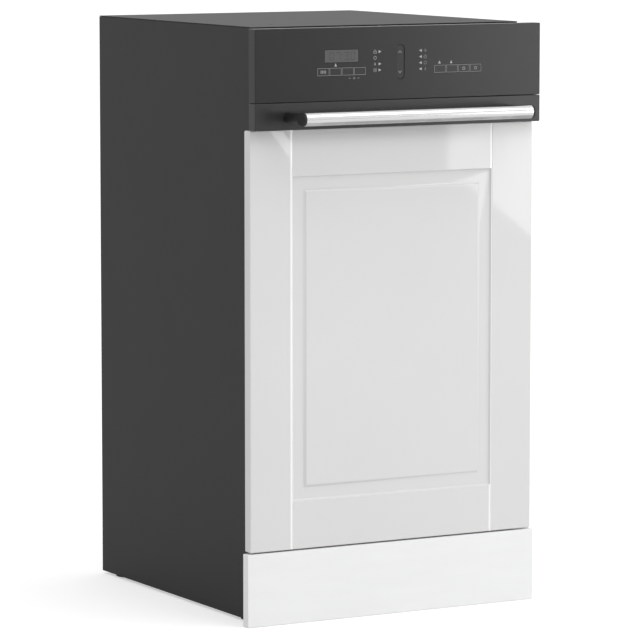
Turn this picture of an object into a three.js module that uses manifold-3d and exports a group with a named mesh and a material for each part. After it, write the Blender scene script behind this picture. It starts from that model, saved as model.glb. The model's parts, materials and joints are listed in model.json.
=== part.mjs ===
// A 45 cm wide semi-integrated dishwasher with a decor door panel, in millimetres, +Z up.
// The design frame has x = 0 on the centre line, y = 0 at the front of the cabinet body with +Y to
// the back, and z = 0 on the floor. The exported group is shifted along Y so that its origin is
// the middle of the footprint.
import * as THREE from "three";
import { mergeVertices } from "three/addons/utils/BufferGeometryUtils.js";
import Module from "manifold-3d";

const wasm = await Module();
wasm.setup();

// ---------------------------------------------------------------- driving dimensions
const HEIGHT = 815;
const GAP = 0.3; // between pieces that touch
const SHEET = 1.2; // outer sheet metal

const BODY_HALF = 209; // half the width of the cabinet body
const BODY_DEPTH = 469.5;
const BODY_BOTTOM = 4;

const FASCIA_HALF = 225;
const FASCIA_FRONT = -33.2;
const FASCIA_BACK = -15.5;
const FASCIA_BOTTOM = 677.2;
const FASCIA_TOP = 813.8;
const FASCIA_SEAM = 714.1; // between the control fascia and the handle strip
const FASCIA_WALL = 2.5;

const DECOR_HALF = 224;
const DECOR_FRONT = -16;
const DECOR_BOTTOM = 102.5;
const DECOR_TOP = 676.8;
const RAIL_WIDTH = 65.5; // stiles and bottom rail of the decor panel's frame
const TOP_RAIL_WIDTH = 63.3;
const RECESS_DEPTH = 4;
const RECESS_WALL = 5.5; // width of the sloping wall from the frame down to the recess
const FIELD_EDGE = 22.5; // from the frame to the flat of the raised field
const FIELD_BEVEL = 4; // width of the slope up to it
const FIELD_DROP = 0.6; // the field lies this far behind the frame's face

const PLINTH_HALF = 228;
const PLINTH_FRONT = -16.5;
const PLINTH_BACK = -2.4;
const PLINTH_TOP = 100.6;

const HINGE_Y = DECOR_FRONT; // the door's virtual axis, at the foot of the decor panel's face
const HINGE_Z = 108;

const DOOR_HALF = 203; // inner and outer door sheets
const DOOR_BOTTOM = 112;
const DOOR_TOP = 805;
const LINER_BACK = 33; // the flat rim of the inner door, which meets the seal
const LINER_WALL = 1.2;
const PRESSING_BACK = 38; // the raised middle of the inner door
const PRESSING_HALF = 170;

const BAR_RADIUS = 9.25;
const BAR_HALF = 178;
const BAR_Y = -84;
const BAR_Z = 694.6;
const CAP_WIDTH = 2.5; // the dark plug on each end of the bar
const POST_RADIUS = 7;

const TUB_HALF = 190; // inside
const TUB_FRONT = 38;
const TUB_BACK = 445; // inside
const TUB_FLOOR = 132; // inside
const TUB_CEILING = 795; // inside
const TUB_WALL = 1.2;
const TUB_CORNER = 4;

const ARM_X = 0; // both spray arms turn about this vertical line
const ARM_Y = 245;
const LOWER_ARM_REACH = 165;
const UPPER_ARM_REACH = 150;

const SUMP_X = 45;
const SUMP_Y = 285;
const SUMP_RADIUS = 76;
const FILTER_X = 75;
const FILTER_Y = 305;
const FILTER_RADIUS = 28;

const SALT_X = -115;
const SALT_Y = 122;

const WHEEL_RADIUS = 18;
const WHEEL_TREAD = 157.3; // underside of the lower basket's wheels
const WHEEL_YS = { front: 90, rear: 400 };
const LEDGE_TOP = 157;

const KEY_PITCH = 19;
const KEY_HALF_ROW = 38;
const KEY_ROW_X = 91.7; // middle of each key row, left and right
const KEY_BOTTOM = 748.5;
const KEY_TOP = 759.5;
const CONTROL_MIDDLE = 765; // middle height of the rocker
const DISPLAY_HALF = 26;
const DISPLAY_BOTTOM = 766.6;
const DISPLAY_TOP = 783.4;

const FOOT_X = 185;
const FOOT_YS = { front: 45, rear: 430 };

// ---------------------------------------------------------------- materials
function material(color, roughness, metalness = 0) {
  return new THREE.MeshStandardMaterial({ color, roughness, metalness });
}
const anthracite = material(0x3e4040, 0.5);
const galvanised = material(0x9a9c9d, 0.45, 0.8);
const stainless = material(0xc4c6c8, 0.3, 1);
const gloss_black = material(0x2c2d2e, 0.15);
const matt_black = material(0x1b1b1c, 0.6);
const white_lacquer = material(0xdcdcda, 0.25);
const white_board = material(0xf2f4f7, 0.4);
const chrome = material(0xe8e9ea, 0.08, 1);
const key_black = material(0x303132, 0.3);
const display_grey = material(0x767a78, 0.2);
const seal_rubber = material(0x3a3b3d, 0.8);
const grey_plastic = material(0x8d9296, 0.5);
const light_plastic = material(0xd5d8da, 0.5);
const blue_grey_wire = material(0xb9bdc1, 0.45);
const spring_steel = material(0x8b8d90, 0.35, 1);
const pump_black = material(0x262729, 0.55);

// ---------------------------------------------------------------- shape helpers
// A closed three.js geometry as a manifold-3d solid.
function solid(geometry) {
  const bare = geometry.clone();
  for (const name of Object.keys(bare.attributes)) {
    if (name !== "position") bare.deleteAttribute(name);
  }
  const merged = mergeVertices(bare, 1e-4);
  return new wasm.Manifold(
    new wasm.Mesh({
      numProp: 3,
      vertProperties: merged.attributes.position.array,
      triVerts: new Uint32Array(merged.index.array),
    }),
  );
}

function join(...solids) {
  return solids.flat().reduce((sum, next) => sum.add(next));
}

function cut(body, ...tools) {
  return tools.flat().reduce((rest, tool) => rest.subtract(tool), body);
}

function block(x0, x1, y0, y1, z0, z1) {
  const box = new THREE.BoxGeometry(x1 - x0, y1 - y0, z1 - z0);
  return solid(box.translate((x0 + x1) / 2, (y0 + y1) / 2, (z0 + z1) / 2));
}

// Where a shape's own x, y and depth axes go when it is extruded along each axis.
const PRISM_TURNS = {
  x: new THREE.Matrix4().set(0, 0, 1, 0, 1, 0, 0, 0, 0, 1, 0, 0, 0, 0, 0, 1),
  y: new THREE.Matrix4().set(1, 0, 0, 0, 0, 0, -1, 0, 0, 1, 0, 0, 0, 0, 0, 1),
  z: new THREE.Matrix4(),
};

// A flat shape extruded along one axis: its plane is YZ for x, XZ for y and XY for z.
function prism(shape, axis, from, to, curveSegments = 4) {
  const depth = to - from;
  const bar = new THREE.ExtrudeGeometry(shape, { depth, bevelEnabled: false, curveSegments });
  bar.applyMatrix4(PRISM_TURNS[axis]);
  if (axis === "x") bar.translate(from, 0, 0);
  if (axis === "y") bar.translate(0, to, 0);
  if (axis === "z") bar.translate(0, 0, from);
  return solid(bar);
}

function roundedRectangle(u0, u1, v0, v1, r) {
  const shape = new THREE.Shape();
  shape.absarc(u1 - r, v0 + r, r, -Math.PI / 2, 0);
  shape.absarc(u1 - r, v1 - r, r, 0, Math.PI / 2);
  shape.absarc(u0 + r, v1 - r, r, Math.PI / 2, Math.PI);
  shape.absarc(u0 + r, v0 + r, r, Math.PI, Math.PI * 1.5);
  return shape;
}

// A round bar along an axis through (u, v), the other two coordinates in x, y, z order.
function rod(axis, radius, u, v, from, to, sides = 16) {
  const bar = new THREE.CylinderGeometry(radius, radius, to - from, sides);
  const middle = (from + to) / 2;
  if (axis === "x") bar.rotateZ(Math.PI / 2).translate(middle, u, v);
  if (axis === "y") bar.translate(u, middle, v);
  if (axis === "z") bar.rotateX(Math.PI / 2).translate(u, v, middle);
  return solid(bar);
}

function ring(axis, outer, inner, u, v, from, to, sides = 24) {
  const hole = rod(axis, inner, u, v, from - 1, to + 1, sides);
  return cut(rod(axis, outer, u, v, from, to, sides), hole);
}

// ---------------------------------------------------------------- the assembly
const cabinet = new THREE.Group();

function place(name, body, look) {
  const made = body.getMesh();
  const geometry = new THREE.BufferGeometry();
  geometry.setAttribute("position", new THREE.BufferAttribute(made.vertProperties, 3));
  geometry.setIndex(new THREE.BufferAttribute(made.triVerts, 1));
  geometry.computeVertexNormals();
  const mesh = new THREE.Mesh(geometry, look);
  mesh.name = name;
  cabinet.add(mesh);
}

const SIDES = { left: -1, right: 1 };

// A block between two distances from the centre line, on one side of it.
function sideBlock(side, near, far, y0, y1, z0, z1) {
  const a = side * near;
  const b = side * far;
  return block(Math.min(a, b), Math.max(a, b), y0, y1, z0, z1);
}

// ---------------------------------------------------------------- cabinet shell
const COVER_UNDERSIDE = HEIGHT - SHEET;
const REAR_FLANGE = 12;
const SIDE_FRONT = 1.2; // clear of the decor panel's lower edge as the door swings

function sidePanel(side) {
  const top = COVER_UNDERSIDE - GAP;
  return join(
    sideBlock(side, BODY_HALF - SHEET, BODY_HALF, SIDE_FRONT, BODY_DEPTH, BODY_BOTTOM, top),
    sideBlock(side, BODY_HALF - REAR_FLANGE, BODY_HALF, BODY_DEPTH - SHEET, BODY_DEPTH, BODY_BOTTOM, top),
  );
}

function topCover() {
  const sheet = block(-BODY_HALF, BODY_HALF, 0, BODY_DEPTH, COVER_UNDERSIDE, HEIGHT);
  const bolt_holes = [-1, 1].map((side) =>
    rod("z", 3, side * 150, 60, COVER_UNDERSIDE - 1, HEIGHT + 1, 12),
  );
  return cut(sheet, bolt_holes);
}

const VALVE_X = 158;
const VALVE_Z = 65;
const GLAND_X = -150;
const GLAND_Z = 60;
const DRAIN_X = 105;
const VENT_HALF = 60;
const VENT_PITCH = 14;

function backCover() {
  const half = BODY_HALF - SHEET - GAP;
  const front = BODY_DEPTH - SHEET - GAP - SHEET;
  const back = front + SHEET;
  const sheet = block(-half, half, front, back, BODY_BOTTOM, COVER_UNDERSIDE - GAP);
  const valve_hole = rod("y", 15, VALVE_X, VALVE_Z, front - 1, back + 1);
  const slots = [0, 1, 2, 3, 4].map((n) =>
    block(-VENT_HALF, VENT_HALF, front - 1, back + 1, 40 + VENT_PITCH * n, 46 + VENT_PITCH * n),
  );
  const cord_gland = rod("y", 11, GLAND_X, GLAND_Z, front - 4, BODY_DEPTH, 16);
  const drain_outlet = rod("y", 13, DRAIN_X, VALVE_Z, front - 4, BODY_DEPTH, 16);
  const bores = [
    rod("y", 4, GLAND_X, GLAND_Z, front - 5, BODY_DEPTH + 1, 12),
    rod("y", 9, DRAIN_X, VALVE_Z, front - 5, BODY_DEPTH + 1, 12),
  ];
  return cut(join(cut(sheet, valve_hole, slots), cord_gland, drain_outlet), bores);
}

// ---------------------------------------------------------------- base
const TRAY_HALF = 206.5;
const TRAY_FRONT = 3;
const TRAY_BACK = 464;
const TRAY_TOP = 30;
const STEM_RADIUS = 6;
const BRACKET_IN = 198;
const BRACKET_OUT = 201;
const ARC_INNER = 43; // the hinge arm's arc, round the door's virtual axis
const ARC_OUTER = 55;
const PIN_RADIUS = 4;

function arcPoint(radius, degrees) {
  const turn = THREE.MathUtils.degToRad(degrees);
  return [HINGE_Y + radius * Math.cos(turn), HINGE_Z + radius * Math.sin(turn)];
}

// The plate on the base that guides one hinge arm between two outer pins and an inner one.
function hingeBracket(side) {
  const plate = sideBlock(side, BRACKET_IN, BRACKET_OUT, 8, 50, TRAY_TOP - 26, 98);
  const outside = ARC_OUTER + 0.5 + PIN_RADIUS;
  const inside = ARC_INNER - 0.5 - PIN_RADIUS;
  const spots = [arcPoint(outside, -20), arcPoint(outside, -50), arcPoint(inside, -35)];
  const pins = spots.map(([y, z]) => {
    const ends = [side * BRACKET_IN, side * (DOOR_HALF + 3.6)].sort((a, b) => a - b);
    return rod("x", PIN_RADIUS, y, z, ends[0], ends[1], 12);
  });
  return join(plate, pins);
}

function baseTray() {
  const outer = block(-TRAY_HALF, TRAY_HALF, TRAY_FRONT, TRAY_BACK, BODY_BOTTOM, TRAY_TOP);
  const wall = 2;
  const hollow = block(
    wall - TRAY_HALF, TRAY_HALF - wall, TRAY_FRONT + wall, TRAY_BACK - wall,
    BODY_BOTTOM + wall, TRAY_TOP + 1,
  );
  const corners = [-1, 1].flatMap((side) => Object.values(FOOT_YS).map((y) => [side * FOOT_X, y]));
  const bosses = corners.map(([x, y]) => rod("z", 11, x, y, BODY_BOTTOM, TRAY_TOP, 16));
  const bores = corners.map(([x, y]) => rod("z", STEM_RADIUS + 0.4, x, y, 0, TRAY_TOP + 1, 16));
  const posts = [-1, 1].map((side) => sideBlock(side, 60, 80, 430, 444, BODY_BOTTOM, 129.6));
  const tongues = [-1, 1].map((side) =>
    sideBlock(side, 105, 135, PLINTH_BACK + GAP, TRAY_FRONT + 1, 12, 26),
  );
  const brackets = [-1, 1].map(hingeBracket);
  return cut(join(cut(outer, hollow), bosses, posts, tongues, brackets), bores);
}

function foot(x, y) {
  const pad = solid(
    new THREE.CylinderGeometry(14, 19, BODY_BOTTOM - GAP, 24)
      .rotateX(Math.PI / 2)
      .translate(x, y, (BODY_BOTTOM - GAP) / 2),
  );
  return join(pad, rod("z", STEM_RADIUS, x, y, 1, 75, 16));
}

function plinth() {
  const outline = roundedRectangle(-PLINTH_HALF, PLINTH_HALF, 0, PLINTH_TOP, 1);
  return prism(outline, "y", PLINTH_FRONT, PLINTH_BACK, 2);
}

const SPRING_X = 190;
const SPRING_Z = 42;
const SPRING_RADIUS = 7;

function balanceSpring(side) {
  const x = side * SPRING_X;
  const coil = rod("y", SPRING_RADIUS, x, SPRING_Z, 80, 300, 12);
  const front_hook = rod("y", 1.5, x, SPRING_Z, 68, 81, 8);
  const rear_hook = rod("y", 1.5, x, SPRING_Z, 299, 400, 8);
  const rear_eye = ring("x", 7, 4, 406, SPRING_Z, x - 1.5, x + 1.5, 12);
  const front_eye = ring("x", 7, 4, 63, SPRING_Z, x - 1.5, x + 1.5, 12);
  return join(coil, front_hook, rear_hook, rear_eye, front_eye);
}

// ---------------------------------------------------------------- tub
const TUB_OUT = TUB_HALF + TUB_WALL;
const FLANGE_HALF = 202.8;
const FLANGE_TOP = 803;
const FLANGE_BOTTOM = 118;
const RUNNER_BOTTOM = 438; // the upper basket's side runners
const RUNNER_TOP = 464;

function tub() {
  const floor = TUB_FLOOR - TUB_WALL;
  const roof = TUB_CEILING + TUB_WALL;
  const flange = block(-FLANGE_HALF, FLANGE_HALF, TUB_FRONT, TUB_FRONT + 2, FLANGE_BOTTOM, FLANGE_TOP);
  const outside = roundedRectangle(-TUB_OUT, TUB_OUT, floor, roof, TUB_CORNER + TUB_WALL);
  const inside = roundedRectangle(-TUB_HALF, TUB_HALF, TUB_FLOOR, TUB_CEILING, TUB_CORNER);
  const shell = join(flange, prism(outside, "y", TUB_FRONT, TUB_BACK + TUB_WALL));
  const sump_hole = rod("z", SUMP_RADIUS - 2, SUMP_X, SUMP_Y, floor - 1, TUB_FLOOR + 1, 24);
  const salt_hole = rod("z", 34, SALT_X, SALT_Y, floor - 1, TUB_FLOOR + 1, 20);
  const hollow = cut(shell, prism(inside, "y", TUB_FRONT - 1, TUB_BACK), sump_hole, salt_hole);
  const ledges = [-1, 1].map((side) =>
    sideBlock(side, 178, TUB_HALF + 1, 45, 430, LEDGE_TOP - 4, LEDGE_TOP),
  );
  const guides = [-1, 1].flatMap((side) => [
    sideBlock(side, 181, TUB_HALF + 1, 46, 110, RUNNER_BOTTOM - 6, RUNNER_BOTTOM - GAP),
    sideBlock(side, 181, TUB_HALF + 1, 46, 110, RUNNER_TOP + GAP, RUNNER_TOP + 6),
  ]);
  return join(hollow, ledges, guides);
}

function doorSeal() {
  const outer = roundedRectangle(-201, 201, 121, 802, 24);
  const inner = roundedRectangle(-192.5, 192.5, 129.5, 797, 20);
  const front = LINER_BACK + GAP;
  const back = TUB_FRONT - GAP;
  return cut(prism(outer, "y", front, back), prism(inner, "y", front - 1, back + 1));
}

const RIM_TOP = TUB_FLOOR - TUB_WALL - GAP; // where the parts below the tub floor end

function sump() {
  const pot = rod("z", SUMP_RADIUS, SUMP_X, SUMP_Y, 62, RIM_TOP, 24);
  const hollow = rod("z", SUMP_RADIUS - 3, SUMP_X, SUMP_Y, 65, RIM_TOP + 1, 24);
  const pillar = rod("z", 13, ARM_X, ARM_Y, 63, 143, 16);
  const spindle = rod("z", 9, ARM_X, ARM_Y, 142, 166, 24);
  return join(cut(pot, hollow), pillar, spindle);
}

function filterPlate() {
  const bottom = TUB_FLOOR + GAP;
  const plate = rod("z", SUMP_RADIUS + 2, SUMP_X, SUMP_Y, bottom, bottom + 1.6, 24);
  const filter_hole = rod("z", FILTER_RADIUS + 0.6, FILTER_X, FILTER_Y, bottom - 1, bottom + 3, 24);
  const pillar_hole = rod("z", 14, ARM_X, ARM_Y, bottom - 1, bottom + 3, 16);
  return cut(plate, filter_hole, pillar_hole);
}

function fineFilter() {
  const cup = rod("z", FILTER_RADIUS, FILTER_X, FILTER_Y, 72, 138, 24);
  const hollow = rod("z", FILTER_RADIUS - 2, FILTER_X, FILTER_Y, 74, 139, 24);
  const handle = block(FILTER_X - 26.5, FILTER_X + 26.5, FILTER_Y - 3, FILTER_Y + 3, 128, 141.5);
  return join(cut(cup, hollow), handle);
}

function saltContainer() {
  const tank = block(SALT_X - 50, SALT_X + 50, SALT_Y - 52, SALT_Y + 52, 58, RIM_TOP);
  const neck = rod("z", 33, SALT_X, SALT_Y, RIM_TOP - 1, 134, 20);
  const mouth = rod("z", 28, SALT_X, SALT_Y, 62, 135, 20);
  return cut(join(tank, neck), mouth);
}

function saltCap() {
  const lid = rod("z", 31, SALT_X, SALT_Y, 134.3, 139, 20);
  const plug = rod("z", 26.5, SALT_X, SALT_Y, 118, 135, 20);
  const grip = block(SALT_X - 24, SALT_X + 24, SALT_Y - 4, SALT_Y + 4, 138, 142.5);
  return join(lid, plug, grip);
}

function circulationPump() {
  const x = -96;
  const z = 74;
  const motor = rod("y", 36, x, z, 225, 330, 20);
  const volute = rod("y", 43, x, z, 200, 232, 24);
  const outlet = rod("x", 11, 285, 92, x, SUMP_X - SUMP_RADIUS - GAP, 12);
  const mount = block(x - 20, x + 20, 240, 320, BODY_BOTTOM + 2 + GAP, z);
  return join(motor, volute, outlet, mount);
}

function drainPump() {
  const y = 290;
  const z = 50;
  const motor = rod("x", 22, y, z, 140, 176, 16);
  const volute = rod("x", 27, y, z, SUMP_X + SUMP_RADIUS + GAP + 2, 142, 16);
  const outlet = rod("y", 9, 131, 55, y, y + 60, 12);
  return join(motor, volute, outlet);
}

function inletValve() {
  const body = block(VALVE_X - 18, VALVE_X + 14, 415, 458, VALVE_Z - 20, VALVE_Z + 20);
  const coil = rod("z", 11, VALVE_X - 2, 436, VALVE_Z + 18, VALVE_Z + 44, 12);
  const thread = rod("y", 13, VALVE_X, VALVE_Z, 456, BODY_DEPTH, 20);
  const bore = rod("y", 9, VALVE_X, VALVE_Z, 450, BODY_DEPTH + 1, 16);
  return cut(join(body, coil, thread), bore);
}

// The water pipe up the rear wall and along the ceiling to the shower head.
function sprayDuct() {
  const half = 14;
  const back = TUB_BACK - 0.5;
  const roof = TUB_CEILING - 0.5;
  return join(
    block(-half, half, 431, back, TUB_FLOOR + 0.4, roof),
    block(-half, half, ARM_Y, back, roof - 11, roof),
    rod("z", 26, ARM_X, ARM_Y, roof - 20, roof - 10, 20),
    block(-8, 8, 420, 432, 419, 431),
  );
}

function latchStriker() {
  const base = block(-20, 20, 41, 60, TUB_CEILING + TUB_WALL + GAP, 799.5);
  const ears = [-1, 1].map((side) => sideBlock(side, 15, 17, 44, 53, 799, 811));
  const bar = block(-16, 16, 46, 49.5, 807, 810.5);
  return join(base, ears, bar);
}

// ---------------------------------------------------------------- spray arms
// A two-bladed arm in the XY plane, broad at the hub and round at the tips.
function armOutline(reach, hub, tip) {
  const shape = new THREE.Shape();
  const steps = 5;
  for (const turn of [0, Math.PI]) {
    for (let n = 0; n <= steps; n++) {
      const angle = turn - Math.PI / 2 + (Math.PI * n) / steps;
      const x = Math.cos(turn) * (reach - tip) + tip * Math.cos(angle);
      const y = tip * Math.sin(angle);
      if (n === 0 && turn === 0) shape.moveTo(x, y);
      else shape.lineTo(x, y);
    }
    shape.lineTo(Math.cos(turn) * hub * 1.4, Math.cos(turn) * hub);
    shape.lineTo(-Math.cos(turn) * hub * 1.4, Math.cos(turn) * hub);
  }
  return shape;
}

function sprayArm(reach, z0, z1, bore) {
  const blades = prism(armOutline(reach, 21, 15), "z", z0, z1);
  const hub = rod("z", 19, 0, 0, z0 - 2, z1 + 3, 20);
  const body = cut(join(blades, hub), rod("z", bore, 0, 0, z0 - 3, z1 + 4, 24));
  return body.translate([ARM_X, ARM_Y, 0]);
}

// ---------------------------------------------------------------- baskets
const LOOP_WIRE = 1.5; // half the thickness of the loops, and of the thinner wires between them
const UPRIGHT_WIRE = 1.3;
const BASE_WIRE = 1.4;

function wire(h, x0, x1, y0, y1, z0, z1) {
  return block(x0 - h, x1 + h, y0 - h, y1 + h, z0 - h, z1 + h);
}

function wireLoop(half, y0, y1, z) {
  const h = LOOP_WIRE;
  const loop = roundedRectangle(-half - h, half + h, y0 - h, y1 + h, 6);
  loop.holes.push(roundedRectangle(h - half, half - h, y0 + h, y1 - h, 4));
  return prism(loop, "z", z - h, z + h, 2);
}

// Evenly spaced places, each to the nearest half millimetre.
function spaced(from, to, count) {
  const step = (to - from) / (count - 1);
  return Array.from({ length: count }, (_, n) => Math.round(2 * (from + step * n)) / 2);
}

// An open basket of square wires, with loops round the rim, the middle and the base.
function wireBasket(half, y0, y1, z0, z1) {
  const loops = [z0, (z0 + z1) / 2, z1].map((z) => wireLoop(half, y0, y1, z));
  const inner = spaced(-half, half, 6).slice(1, -1);
  const uprights = inner.flatMap((x) => [
    wire(UPRIGHT_WIRE, x, x, y0, y0, z0, z1),
    wire(UPRIGHT_WIRE, x, x, y1, y1, z0, z1),
  ]);
  const ribs = spaced(y0, y1, 8).slice(1, -1);
  const hoops = ribs.flatMap((y) => [
    wire(UPRIGHT_WIRE, -half, -half, y, y, z0, z1),
    wire(UPRIGHT_WIRE, half, half, y, y, z0, z1),
    wire(BASE_WIRE, -half, half, y, y, z0 + 0.4, z0 + 0.4),
  ]);
  const runners = inner.map((x) => wire(BASE_WIRE, x, x, y0, y1, z0 - 0.5, z0 - 0.5));
  return join(loops, uprights, hoops, runners);
}

const LOWER_HALF = 172;
const LOWER_Y0 = 66.5;
const LOWER_Y1 = 428;
const LOWER_Z0 = 176.5;
const LOWER_Z1 = 300;
const UPPER_HALF = 171;
const UPPER_Y0 = 63.5;
const UPPER_Y1 = 413;
const UPPER_Z0 = 432;
const UPPER_Z1 = 545;
const AXLE_RADIUS = 4;

function lowerBasket() {
  const axle_z = WHEEL_TREAD + WHEEL_RADIUS;
  const carriers = [-1, 1].flatMap((side) =>
    Object.values(WHEEL_YS).flatMap((y) => {
      const ends = [side * LOWER_HALF, side * 188].sort((a, b) => a - b);
      return [
        sideBlock(side, LOWER_HALF - 3, LOWER_HALF + 5.5, y - 9, y + 9, axle_z - 7, axle_z + 14),
        rod("x", AXLE_RADIUS, y, axle_z, ends[0], ends[1], 12),
      ];
    }),
  );
  const handle = block(-45, 45, LOWER_Y0 - 3, LOWER_Y0 + 5, LOWER_Z1 - 12, LOWER_Z1 + 6);
  return join(wireBasket(LOWER_HALF, LOWER_Y0, LOWER_Y1, LOWER_Z0, LOWER_Z1), carriers, handle);
}

function basketWheel(side, y) {
  const z = WHEEL_TREAD + WHEEL_RADIUS;
  const ends = [side * (LOWER_HALF + 6.2), side * 188].sort((a, b) => a - b);
  return ring("x", WHEEL_RADIUS, AXLE_RADIUS + 0.4, y, z, ends[0], ends[1], 20);
}

const CUTLERY = { x0: 92, x1: 164, y0: 150, y1: 400, z0: LOWER_Z0 + 2, z1: 292 };

function cutleryBasket() {
  const { x0, x1, y0, y1, z0, z1 } = CUTLERY;
  const wall = 2.5;
  const outer = block(x0, x1, y0, y1, z0, z1);
  const cell = (y1 - y0 - wall) / 4;
  const cells = [0, 1, 2, 3].map((n) =>
    block(x0 + wall, x1 - wall, y0 + wall + n * cell, y0 + (n + 1) * cell, z0 + wall, z1 + 1),
  );
  const slots = [0, 1, 2, 3].flatMap((n) =>
    [0, 1, 2].map((k) => {
      const z = z0 + 18 + 30 * k;
      const y = y0 + wall + n * cell;
      return block(x0 - 1, x1 + 1, y + 10, y + cell - 12, z, z + 18);
    }),
  );
  const middle = (x0 + x1) / 2;
  const grip = block(middle - 4, middle + 4, y0 + 40, y1 - 40, z1 + 28, z1 + 38);
  const legs = [y0 + 40, y1 - 48].map((y) =>
    block(middle - 4, middle + 4, y, y + 8, z0 + 1, z1 + 30),
  );
  const web = block(middle - 1.2, middle + 1.2, y0 + 41, y1 - 41, z0 + 1, z0 + 8);
  return join(cut(outer, cells, slots), grip, legs, web);
}

const GUIDE_TIP = 184;

function upperBasket() {
  const guides = [-1, 1].flatMap((side) =>
    [100, 340].map((y) => sideBlock(side, UPPER_HALF - 1, GUIDE_TIP, y, y + 35, 444, 458)),
  );
  const feed = block(-8, 8, ARM_Y, UPPER_Y1 + 3, 420, UPPER_Z0);
  const hub = rod("z", 12, ARM_X, ARM_Y, 417, UPPER_Z0 + 4, 16);
  const spindle = rod("z", 8, ARM_X, ARM_Y, 399, 418, 24);
  const handle = block(-45, 45, UPPER_Y0 - 3, UPPER_Y0 + 5, UPPER_Z1 - 12, UPPER_Z1 + 6);
  const basket = wireBasket(UPPER_HALF, UPPER_Y0, UPPER_Y1, UPPER_Z0, UPPER_Z1);
  return join(basket, guides, feed, hub, spindle, handle);
}

// A C-shaped runner that slides in the tub and carries the upper basket's guides.
function rackRail(side) {
  const near = 177;
  const far = TUB_HALF - 1.5;
  const wall = 1.5;
  const bar = sideBlock(side, near, far, 48, 418, RUNNER_BOTTOM, RUNNER_TOP);
  const groove = sideBlock(side, near - 1, far - wall, 47, 416, RUNNER_BOTTOM + wall, RUNNER_TOP - wall);
  const lips = [
    sideBlock(side, near, near + wall, 48, 418, RUNNER_BOTTOM, RUNNER_BOTTOM + 4),
    sideBlock(side, near, near + wall, 48, 418, RUNNER_TOP - 4, RUNNER_TOP),
  ];
  return join(cut(bar, groove), lips);
}

// ---------------------------------------------------------------- door
const DISPENSER = { half: 78, z0: 342, z1: 508, front: 16, back: 42 };
const CHAMBER = { x0: -64, x1: -2, z0: 366, z1: 430 };
const CAP_X = 42;
const CAP_Z = 470;

function outerDoor() {
  return block(-DOOR_HALF, DOOR_HALF, 0.4, 1.6, DOOR_BOTTOM, DOOR_TOP);
}

function innerDoor() {
  const front = 2;
  const pan = block(-DOOR_HALF, DOOR_HALF, front, LINER_BACK, DOOR_BOTTOM, DOOR_TOP);
  const pressing = roundedRectangle(-PRESSING_HALF, PRESSING_HALF, 162, 768, 24);
  const inset = PRESSING_HALF - LINER_WALL;
  const behind = roundedRectangle(-inset, inset, 162 + LINER_WALL, 768 - LINER_WALL, 22);
  const hollow = block(
    LINER_WALL - DOOR_HALF, DOOR_HALF - LINER_WALL, front - 1, LINER_BACK - LINER_WALL,
    DOOR_BOTTOM + LINER_WALL, DOOR_TOP - LINER_WALL,
  );
  const window = DISPENSER.half + GAP;
  const dispenser_hole = block(
    -window, window, LINER_BACK - 10, PRESSING_BACK + 1, DISPENSER.z0 - GAP, DISPENSER.z1 + GAP,
  );
  return cut(
    join(pan, prism(pressing, "y", LINER_BACK - 1, PRESSING_BACK)),
    hollow,
    prism(behind, "y", LINER_BACK - 5, PRESSING_BACK - LINER_WALL),
    dispenser_hole,
  );
}

// A block that tapers from one rectangle (x0, x1, z0, z1) at its front to another at its back.
function frustum(near, far, front, back) {
  const at = (u0, u1, v0, v1, y) => [u0, y, v0, u1, y, v0, u1, y, v1, u0, y, v1];
  const points = new Float32Array([
    ...at(...near, front),
    ...at(...far, back),
  ]);
  const faces = [
    0, 1, 2, 0, 2, 3, 4, 6, 5, 4, 7, 6,
    0, 4, 5, 0, 5, 1, 1, 5, 6, 1, 6, 2, 2, 6, 7, 2, 7, 3, 3, 7, 4, 3, 4, 0,
  ];
  const geometry = new THREE.BufferGeometry();
  geometry.setAttribute("position", new THREE.BufferAttribute(points, 3));
  geometry.setIndex(faces);
  return solid(geometry);
}

// The decor panel: stiles and rails round a recess, with a bevelled raised field in it.
function decorPanel() {
  const outline = roundedRectangle(-DECOR_HALF, DECOR_HALF, DECOR_BOTTOM, DECOR_TOP, 2);
  const board = prism(outline, "y", DECOR_FRONT, 0, 3);
  const half = DECOR_HALF - RAIL_WIDTH;
  const low = DECOR_BOTTOM + RAIL_WIDTH;
  const high = DECOR_TOP - TOP_RAIL_WIDTH;
  // a rectangle that lies this far inside the frame's inner edge
  const inset = (by) => [by - half, half - by, low + by, high - by];
  const floor = DECOR_FRONT + RECESS_DEPTH;
  const slope = RECESS_WALL / RECESS_DEPTH;
  const recess = frustum(inset(1 - slope), inset(1 + RECESS_WALL), DECOR_FRONT - 1, floor);
  const top = DECOR_FRONT + FIELD_DROP;
  const field = frustum(inset(FIELD_EDGE), inset(FIELD_EDGE - FIELD_BEVEL), top, floor + 0.5);
  const grooves = [-1, 1].map((side) =>
    sideBlock(
      side, half - 0.6, half + 0.6, DECOR_FRONT - 1, DECOR_FRONT + 1.2, DECOR_BOTTOM - 1, DECOR_TOP + 1,
    ),
  );
  return join(cut(board, recess, grooves), field);
}

const PLATE_FRONT = -17.8; // the housing's front plate, let into the back of the fascia

function fasciaShell(bottom, top) {
  const outline = roundedRectangle(-FASCIA_HALF, FASCIA_HALF, bottom, top, 1.5);
  const shell = prism(outline, "y", FASCIA_FRONT, FASCIA_BACK, 2);
  const half = FASCIA_HALF - FASCIA_WALL;
  const inside = FASCIA_FRONT + FASCIA_WALL;
  const pocket = block(-half, half, inside, 0, bottom + FASCIA_WALL, top - FASCIA_WALL);
  const plate_seat = block(
    -half, half, PLATE_FRONT, 0, FASCIA_BOTTOM + FASCIA_WALL, FASCIA_TOP - FASCIA_WALL,
  );
  return cut(shell, pocket, plate_seat);
}

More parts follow.
